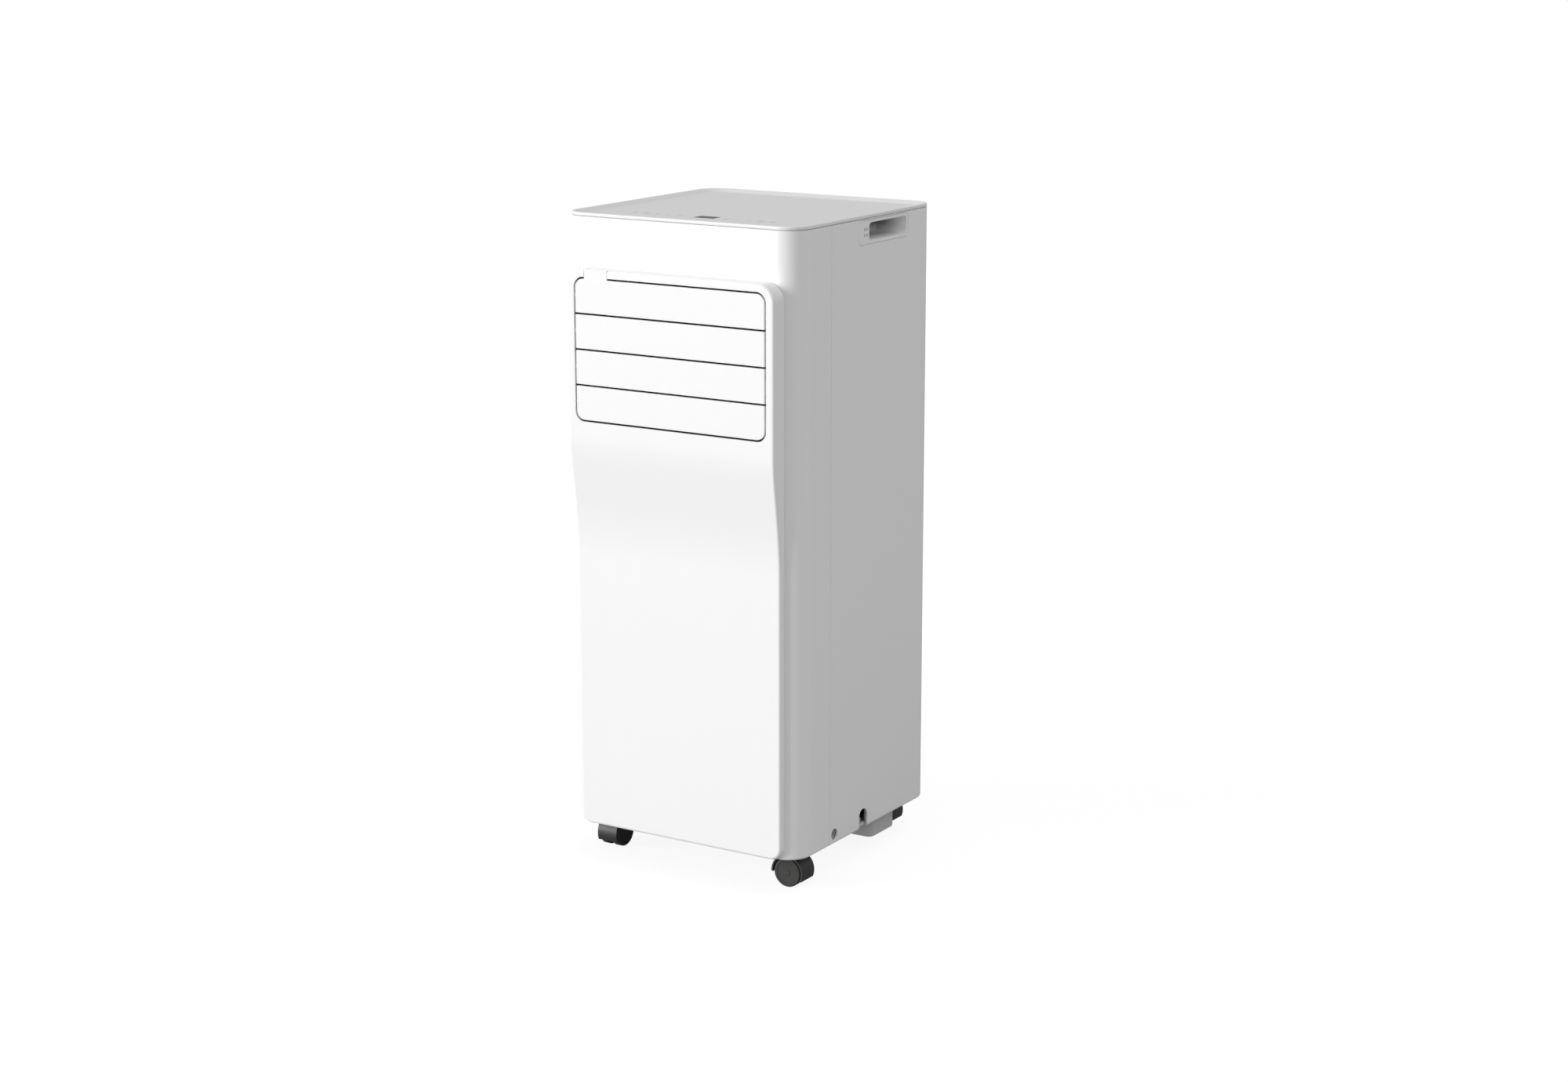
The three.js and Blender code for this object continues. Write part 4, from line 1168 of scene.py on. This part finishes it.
def tub(outer_x, inner_x, grow, radius):
    """A block from the bezel inwards, whose inner end is narrower."""
    low = (inner_x, pocket_y[0] - grow, pocket_z[0] - grow)
    high = (outer_x, pocket_y[1] + grow, pocket_z[1] + grow)
    shape = block("tub", low, high)
    with editing(shape, "VERT") as mesh:
        inner = [v for v in mesh.verts if v.co.x / MM < inner_x + 1]
        pick(shape, inner, lambda v: v.co.y / MM < pocket_middle[0])
        bpy.ops.transform.translate(value=(0, front_taper * MM, 0))
        bpy.ops.mesh.select_all(action="DESELECT")
        pick(shape, inner, lambda v: v.co.y / MM > pocket_middle[0])
        bpy.ops.transform.translate(value=(0, -back_taper * MM, 0))

    def lengthwise(edge):
        return abs(edge.verts[0].co.x - edge.verts[1].co.x) / MM > 10

    round_edges(shape, lengthwise, radius, 6)

    def closed_end(edge):
        return all(v.co.x / MM < inner_x + 0.1 for v in edge.verts)

    return round_edges(shape, closed_end, 3, 4)


def make_cup():
    low = (bezel_x - wall, cup_low.y, cup_high.z - bezel_height)
    high = (bezel_x, cup_high.y, cup_high.z)
    cup = rounded_block("handle_pocket_right", low, high, "x", 6, 8)
    weld(cup, tub(bezel_x - 1, pocket_end - 1.8, 1.8, 6))
    cut(cup, tub(bezel_x + 1, pocket_end, 0, 4.6))
    rib = block(
        "rib",
        (pocket_end - 1, rib_y[0], pocket_z[0] - 1),
        (pocket_end + 14, rib_y[1], pocket_z[1] + 1),
    )
    with editing(rib, "VERT") as mesh:
        pick(rib, mesh.verts, lambda v: v.co.x / MM > pocket_end + 5 and v.co.z / MM < pocket_middle[1])
        bpy.ops.transform.translate(value=(-9 * MM, 0, 0))
    weld(cup, rib)

    def mouth(edge):
        points = [v.co / MM for v in edge.verts]
        across = all(pocket_y[0] - 2 < p.y < pocket_y[1] + 2 for p in points)
        upright = all(pocket_z[0] - 1 < p.z < pocket_z[1] + 1 for p in points)
        return across and upright and all(p.x > bezel_x - 0.01 for p in points)

    round_edges(cup, mouth, 1.0, 3)
    return soften(cup, 0.25, 2, 50)


def make_handle_marks():
    """Four small raised bars, two above two."""
    marks = []
    for row in (-3.2, 3.2):
        for column in (-2.6, 2.6):
            y, z = cup_low.y + 15.7 + column, pocket_middle[1] + row
            low, high = (bezel_x - 0.3, y - 1.0, z - 1.7), (bezel_x + 0.12, y + 1.0, z + 1.7)
            marks.append(rounded_block("mark", low, high, "x", 0.5, 3))
    return gather("handle_marks_right", marks)


def mirrored(obj, name):
    """The same piece for the left side: mirrored across the middle, its faces turned out again."""
    copy = twin(obj, name)
    with editing(copy, "VERT"):
        bpy.ops.mesh.select_all(action="SELECT")
        bpy.ops.transform.resize(value=(-1, 1, 1), center_override=(0, 0, 0))
        bpy.ops.mesh.remove_doubles(threshold=1e-7)
        bpy.ops.mesh.normals_make_consistent(inside=False)
    return copy


right_cup = make_cup()
left_cup = mirrored(right_cup, "handle_pocket_left")
right_marks = make_handle_marks()
left_marks = mirrored(right_marks, "handle_marks_left")
done(right_cup, cup_grey, "cabinet", "cup_grey", "handle_cup_right")
done(left_cup, cup_grey, "cabinet", "cup_grey", "handle_cup_left")
for marks in (right_marks, left_marks):
    done(marks, mark_grey, "cabinet", "cup_grey")

# %% [markdown]
# ## Grilles and filters on the back
# Two intake grilles take up most of the back. Each is a frame with a bar down its middle and slats
# that hang a little outwards, so that one can't look in from above. One slat is modelled, and an Array
# modifier repeats it. Behind each grille a filter slides in from the left: a frame with a net of fine
# strands. The net is a plain grid whose faces are inset and taken out, and Solidify thickens the rest.

# %% Grilles
def make_grille(name, low, high, rows):
    border, middle_bar = 9, 4
    frame_piece = rounded_block(name, low, high, "y", 7.6, 6)
    middle = (low.x + high.x) / 2
    columns = ((low.x + border, middle - middle_bar / 2), (middle + middle_bar / 2, high.x - border))
    for x0, x1 in columns:
        hole_low, hole_high = (x0, low.y - past, low.z + border), (x1, high.y + past, high.z - border)
        cut(frame_piece, rounded_block("cut", hole_low, hole_high, "y", 2, 3))
    pitch = (high.z - low.z - 2 * border) / rows
    y = (low.y + high.y) / 2
    slat = block("slat", (low.x + border - 1, -2.6, -0.8), (high.x - border + 1, 2.6, 0.8))
    slat.rotation_euler = (math.radians(-58), 0, 0)
    slat.location = Vector((0, y, low.z + border + pitch / 2)) * MM
    apply_place(slat)
    modify(
        slat,
        "ARRAY",
        count=rows,
        use_relative_offset=False,
        use_constant_offset=True,
        constant_offset_displace=(0, 0, pitch * MM),
    )
    weld(frame_piece, slat)
    trim_low = (low.x - 1, low.y, low.z - 1)
    trim_high = (high.x + 1, high.y, high.z + 1)
    trim = block("trim", trim_low, trim_high)
    combine(frame_piece, "INTERSECT", [trim])
    return soften(frame_piece, 0.25, 2, 50)


for side, low, high, rows in (("upper", upper_low, upper_high, 20), ("lower", lower_low, lower_high, 13)):
    grille = make_grille(side + "_grille_moulding", low, high, rows)
    done(grille, shell_white, "cabinet", "shell_white", side + "_grille")


# %% Filters
def make_filter_frame(name, low, high):
    border, bar = 8, 4
    frame_piece = rounded_block(name, low, high, "y", 1.5, 3)
    starts = [low.x + border] + [x + bar / 2 for x in rib_places]
    ends = [x - bar / 2 for x in rib_places] + [high.x - border]
    for x0, x1 in zip(starts, ends):
        hole_low = (x0, low.y - 1, low.z + border)
        hole_high = (x1, high.y + 1, high.z - border)
        cut(frame_piece, rounded_block("cut", hole_low, hole_high, "y", 2, 3))
    middle = (low.z + high.z) / 2
    grip = rounded_block(
        "cut",
        (low.x - 1, low.y + 1.2, middle - 14),
        (low.x + 1.6, high.y - 1.2, middle + 14),
        "x",
        0.9,
        3,
    )
    cut(frame_piece, grip)
    return soften(frame_piece, 0.3, 2, 50)


def make_net(name, low, high):
    """A net of crossing strands, a mesh apart, that ends inside the frame."""
    mesh_size, strand, thickness, edge = 5, 0.6, 0.4, 6
    wide, tall = high.x - low.x - 2 * edge, high.z - low.z - 2 * edge
    bpy.ops.object.select_all(action="DESELECT")
    bpy.ops.mesh.primitive_grid_add(
        x_subdivisions=round(wide / mesh_size),
        y_subdivisions=round(tall / mesh_size),
        size=1,
        location=(low + high) / 2 * MM,
        rotation=(math.pi / 2, 0, 0),
    )
    net = bpy.context.object
    net.name = net.data.name = name
    net.scale = (wide * MM, tall * MM, 1)
    apply_place(net)
    with editing(net, "FACE"):
        bpy.ops.mesh.select_all(action="SELECT")
        bpy.ops.mesh.inset(thickness=strand / 2 * MM, use_individual=True)
        bpy.ops.mesh.delete(type="FACE")
    return modify(net, "SOLIDIFY", thickness=thickness * MM, offset=0)


for name in ("upper_filter", "lower_filter"):
    low, high = corners(name)
    done(make_filter_frame(name + "_frame", low, high), frame_grey, name, "filter_mesh", name)
    done(make_net(name + "_net", low, high), filter_mesh, name, "filter_mesh")


# %% [markdown]
# ## The exhaust collar, the drains and the cord gland
# The collar takes the hose: a round tube with a flange on the wall and three lugs that the hose end
# turns behind. The two drains are closed by rubber plugs with a wing to grip. The gland is a plain
# bush. All four are turned parts, so they start as cylinders with many sides.

# %% Exhaust collar
def make_collar():
    end_y = corners("exhaust_collar")[1].y
    collar_wall = 3.5
    collar = rod("exhaust_collar_moulding", "y", collar_radius, back_y - 2, end_y, 0, collar_z, 96)
    weld(collar, rod("flange", "y", collar_radius + 6, back_y + gap, back_y + 2.4, 0, collar_z, 96))
    for angle in (0, 120, 240):
        lug_low, lug_high = (-7, back_y + 8, collar_radius - 2), (7, back_y + 11, collar_radius + 2.6)
        lug = block("lug", lug_low, lug_high)
        lug.rotation_euler = (0, math.radians(angle), 0)
        lug.location = (0, 0, collar_z * MM)
        weld(collar, apply_place(lug))
    bore = collar_radius - collar_wall
    cut(collar, rod("cut", "y", bore, back_y - past, end_y + past, 0, collar_z, 96))
    return soften(collar, 0.5, 2, 50)


done(make_collar(), cup_grey, "cabinet", "cup_grey", "exhaust_collar")


# %% Drain plugs and cord gland
def make_drain_plug(name, x, z):
    plug = rod(name + "_rubber", "y", 11, back_y + gap, back_y + 4, x, z, 48)
    weld(
        plug,
        rod("shank", "y", 7, back_y - 12, back_y + 1, x, z, 48),
        rounded_block("wing", (x - 2, back_y + 3, z - 8), (x + 2, back_y + 8.5, z + 8), "x", 2.4, 5),
    )
    return soften(plug, 0.6, 3, 50)


for name, (x, z) in drains.items():
    node = name + "_drain_plug"
    done(make_drain_plug(node, x, z), plug_rubber, node, "plug_rubber", node)

gland = rod("cord_gland_bush", "y", 8.4, back_y - 6, back_y + 1, gland_x, gland_z, 48)
weld(gland, rod("flange", "y", 12, back_y + gap, back_y + 3, gland_x, gland_z, 48))
cut(gland, rod("cut", "y", 4.2, back_y - 8, back_y + 5, gland_x, gland_z, 32))
done(soften(gland, 0.6, 3, 50), link_black, "cabinet", "link_black", "cord_gland")

# %% [markdown]
# ## The base pan
# The pan closes the cabinet below and catches the drip water in a sump that hangs under the shells. It
# holds the four caster sockets. Low on each side a screw ties the shell to it through a round recess,
# and a slot in the shell's lower edge leads to the pan's own drain nipple.

# %% Base pan
pan_floor = corners("base_pan")[0].z
sump_x, sump_y = 138, (42.5, 99)
plate_z = (shell_bottom + 1.5, shell_bottom + 4.5)
rim_top = plate_z[1] + 14
nipple_z = plate_z[1] + 3.2
stem_radius, socket_top = 4, 62
stems = {
    "front_right": (128.5, -102, 0),
    "front_left": (-128.5, -102, -90),
    "rear_right": (109, 136, 0),
    "rear_left": (-109, 136, 0),
}


def outward(side, inner, outer):
    """Both ends of a stretch along X: side is 1 for the right and -1 for the left."""
    return sorted((side * inner, side * outer))


def plan_block(name, inset, z0, z1):
    """A block of the cabinet's plan outline, a little smaller all round."""
    low, high = (-side_x + inset, front_y + inset, z0), (side_x - inset, back_y - inset, z1)
    return rounded_block(name, low, high, "z", corner_radius - inset, 12)


def make_sump(inset):
    """The sump's outer shape, or with an inset the hollow inside it."""
    floor_z = pan_floor + inset
    top = plate_z[1] + (1 if inset else 0)
    low, high = (-sump_x + inset, sump_y[0] + inset, floor_z), (sump_x - inset, sump_y[1] - inset, top)
    sump = rounded_block("sump", low, high, "z", 9 - inset, 8)

    def keel(edge):
        return all(v.co.z / MM < floor_z + 0.1 for v in edge.verts)

    return round_edges(sump, keel, 2.5, 4)


def screw_well(side):
    """A closed round well behind the recess, for one screw."""
    return rod("well", "x", 7.6, *outward(side, 137, 149), screw_y, screw_z, 48)


def make_base_pan():
    inset = wall + gap
    pan = plan_block("base_pan_moulding", inset + 1.2, plate_z[0], rim_top)
    cut(pan, plan_block("cut", inset + 3.2, plate_z[1], rim_top + past))
    weld(pan, make_sump(0), screw_well(1), screw_well(-1))
    for x, y, _ in stems.values():
        weld(pan, rod("socket", "z", 9, plate_z[0], socket_top, x, y, 48))
    cut(pan, make_sump(wall))
    for x, y, _ in stems.values():
        cut(pan, rod("cut", "z", stem_radius + 0.5, 30, socket_top - 3, x, y, 32))
    for side in (1, -1):
        cut(pan, rod("cut", "x", 6.0, *outward(side, 140, 152), screw_y, screw_z, 48))
        x0, x1 = outward(side, 143, 152)
        low, high = (x0, notch_y[0] - 3, plate_z[1] + 0.2), (x1, notch_y[1] + 3, rim_top + past)
        cut(pan, block("cut", low, high))
        x0, x1 = outward(side, 132, 146)
        weld(pan, rod("nipple", "x", 3.4, x0, x1, 0, nipple_z, 32))
        cut(pan, rod("cut", "x", 2.0, x0 + 1, x1 + 1, 0, nipple_z, 24))
    return soften(pan, 0.4, 2, 50)


done(make_base_pan(), pan_grey, "cabinet", "pan_grey", "base_pan")


# %% Screws in the side recesses
def make_screw():
    """A round screw head with a cross slot."""
    screw = rod("side_screw_right", "x", 4.4, 139.5, 142.5, screw_y, screw_z, 40)
    for wide, tall in ((0.55, 2.9), (2.9, 0.55)):
        low, high = (141.3, screw_y - wide, screw_z - tall), (144, screw_y + wide, screw_z + tall)
        cut(screw, block("cut", low, high))
    return soften(screw, 0.35, 2, 50)


right_screw = make_screw()
left_screw = mirrored(right_screw, "side_screw_left")
for screw in (right_screw, left_screw):
    done(screw, screw_steel, "cabinet", "axle_steel")

# %% [markdown]
# ## Casters
# Each caster is a hood on a swivel stem, with two wheels on one axle under it. One hood and one wheel
# are modelled with the stem on the origin and the wheels trailing behind it. Copies of them are then
# turned and set under the four sockets.

# %% Caster hood
wheel_radius = 17
trail = 9
half_width = 13.2
hood_pocket = wheel_radius + 1.3
hood_radius = hood_pocket + 2.1
hood_top, neck_foot = 39.5, 29
web_half = 3.2
axle_hole = 2.5
reach = half_width + 1.8


def make_hood():
    hood = rod("hood", "y", hood_radius, -half_width, half_width, -trail, wheel_radius, 72)
    lower_edge = [(-trail - hood_radius, 16), (-3, 10), (9.6, 8.7)]
    for (x0, z0), (x1, z1) in zip(lower_edge, lower_edge[1:]):
        with editing(hood, "FACE"):
            bpy.ops.mesh.select_all(action="SELECT")
            bpy.ops.mesh.bisect(
                plane_co=(x0 * MM, 0, z0 * MM),
                plane_no=Vector((z0 - z1, 0, x1 - x0)).normalized(),
                clear_inner=True,
                use_fill=True,
            )
    weld(
        hood,
        rod("shoulder", "z", 8.5, neck_foot, hood_top, 0, 0, 48),
        rod("stem", "z", stem_radius, neck_foot, socket_top - 4, 0, 0, 32),
    )
    for y0, y1 in ((web_half, reach), (-reach, -web_half)):
        cut(hood, rod("cut", "y", hood_pocket, y0, y1, -trail, wheel_radius, 72))
    cut(hood, rod("cut", "y", axle_hole, -reach, reach, -trail, wheel_radius, 24))
    return soften(hood, 0.7, 3, 50)


# %% Caster wheel
def make_wheel():
    """The wheel on the +Y side of the web: a tread with round edges and a sunk face with a hub."""
    outer = half_width - 0.2
    inner = outer - 9
    wheel = rod("wheel", "y", wheel_radius, inner, outer, -trail, wheel_radius, 72)

    def outer_rim(edge):
        return all(v.co.y / MM > outer - 0.01 for v in edge.verts)

    round_edges(wheel, outer_rim, 1.6, 4)
    with editing(wheel, "FACE") as mesh:
        pick(wheel, mesh.faces, lambda f: f.normal.y > 0.9 and len(f.verts) > 20)
        bpy.ops.mesh.inset(thickness=2.2 * MM)
        bpy.ops.mesh.inset(thickness=0.5 * MM)
        bpy.ops.transform.translate(value=(0, -0.5 * MM, 0))
        bpy.ops.mesh.inset(thickness=8.6 * MM)
        bpy.ops.mesh.inset(thickness=0.5 * MM)
        bpy.ops.transform.translate(value=(0, 0.4 * MM, 0))
    cut(wheel, rod("cut", "y", axle_hole, inner - 1, outer - 2, -trail, wheel_radius, 24))
    return soften(wheel, 0.4, 2, 50)


hood = make_hood()
wheel_a = make_wheel()
wheel_b = twin(wheel_a, "wheel_b", (-2 * trail, 0, 0), 180)
for corner, (x, y, turn) in stems.items():
    place = (x, y, 0)
    cover = twin(hood, "hood_" + corner, place, turn)
    done(cover, caster_black, "caster_" + corner, "caster_black", "caster_hood_" + corner)
    for letter, wheel in (("a", wheel_a), ("b", wheel_b)):
        roller = twin(wheel, "roller_" + letter + "_" + corner, place, turn)
        node = "wheel_" + letter + "_" + corner
        done(roller, wheel_black, "wheels_" + corner, "wheel_black", node)
for pattern in (hood, wheel_a, wheel_b):
    bpy.data.objects.remove(pattern)
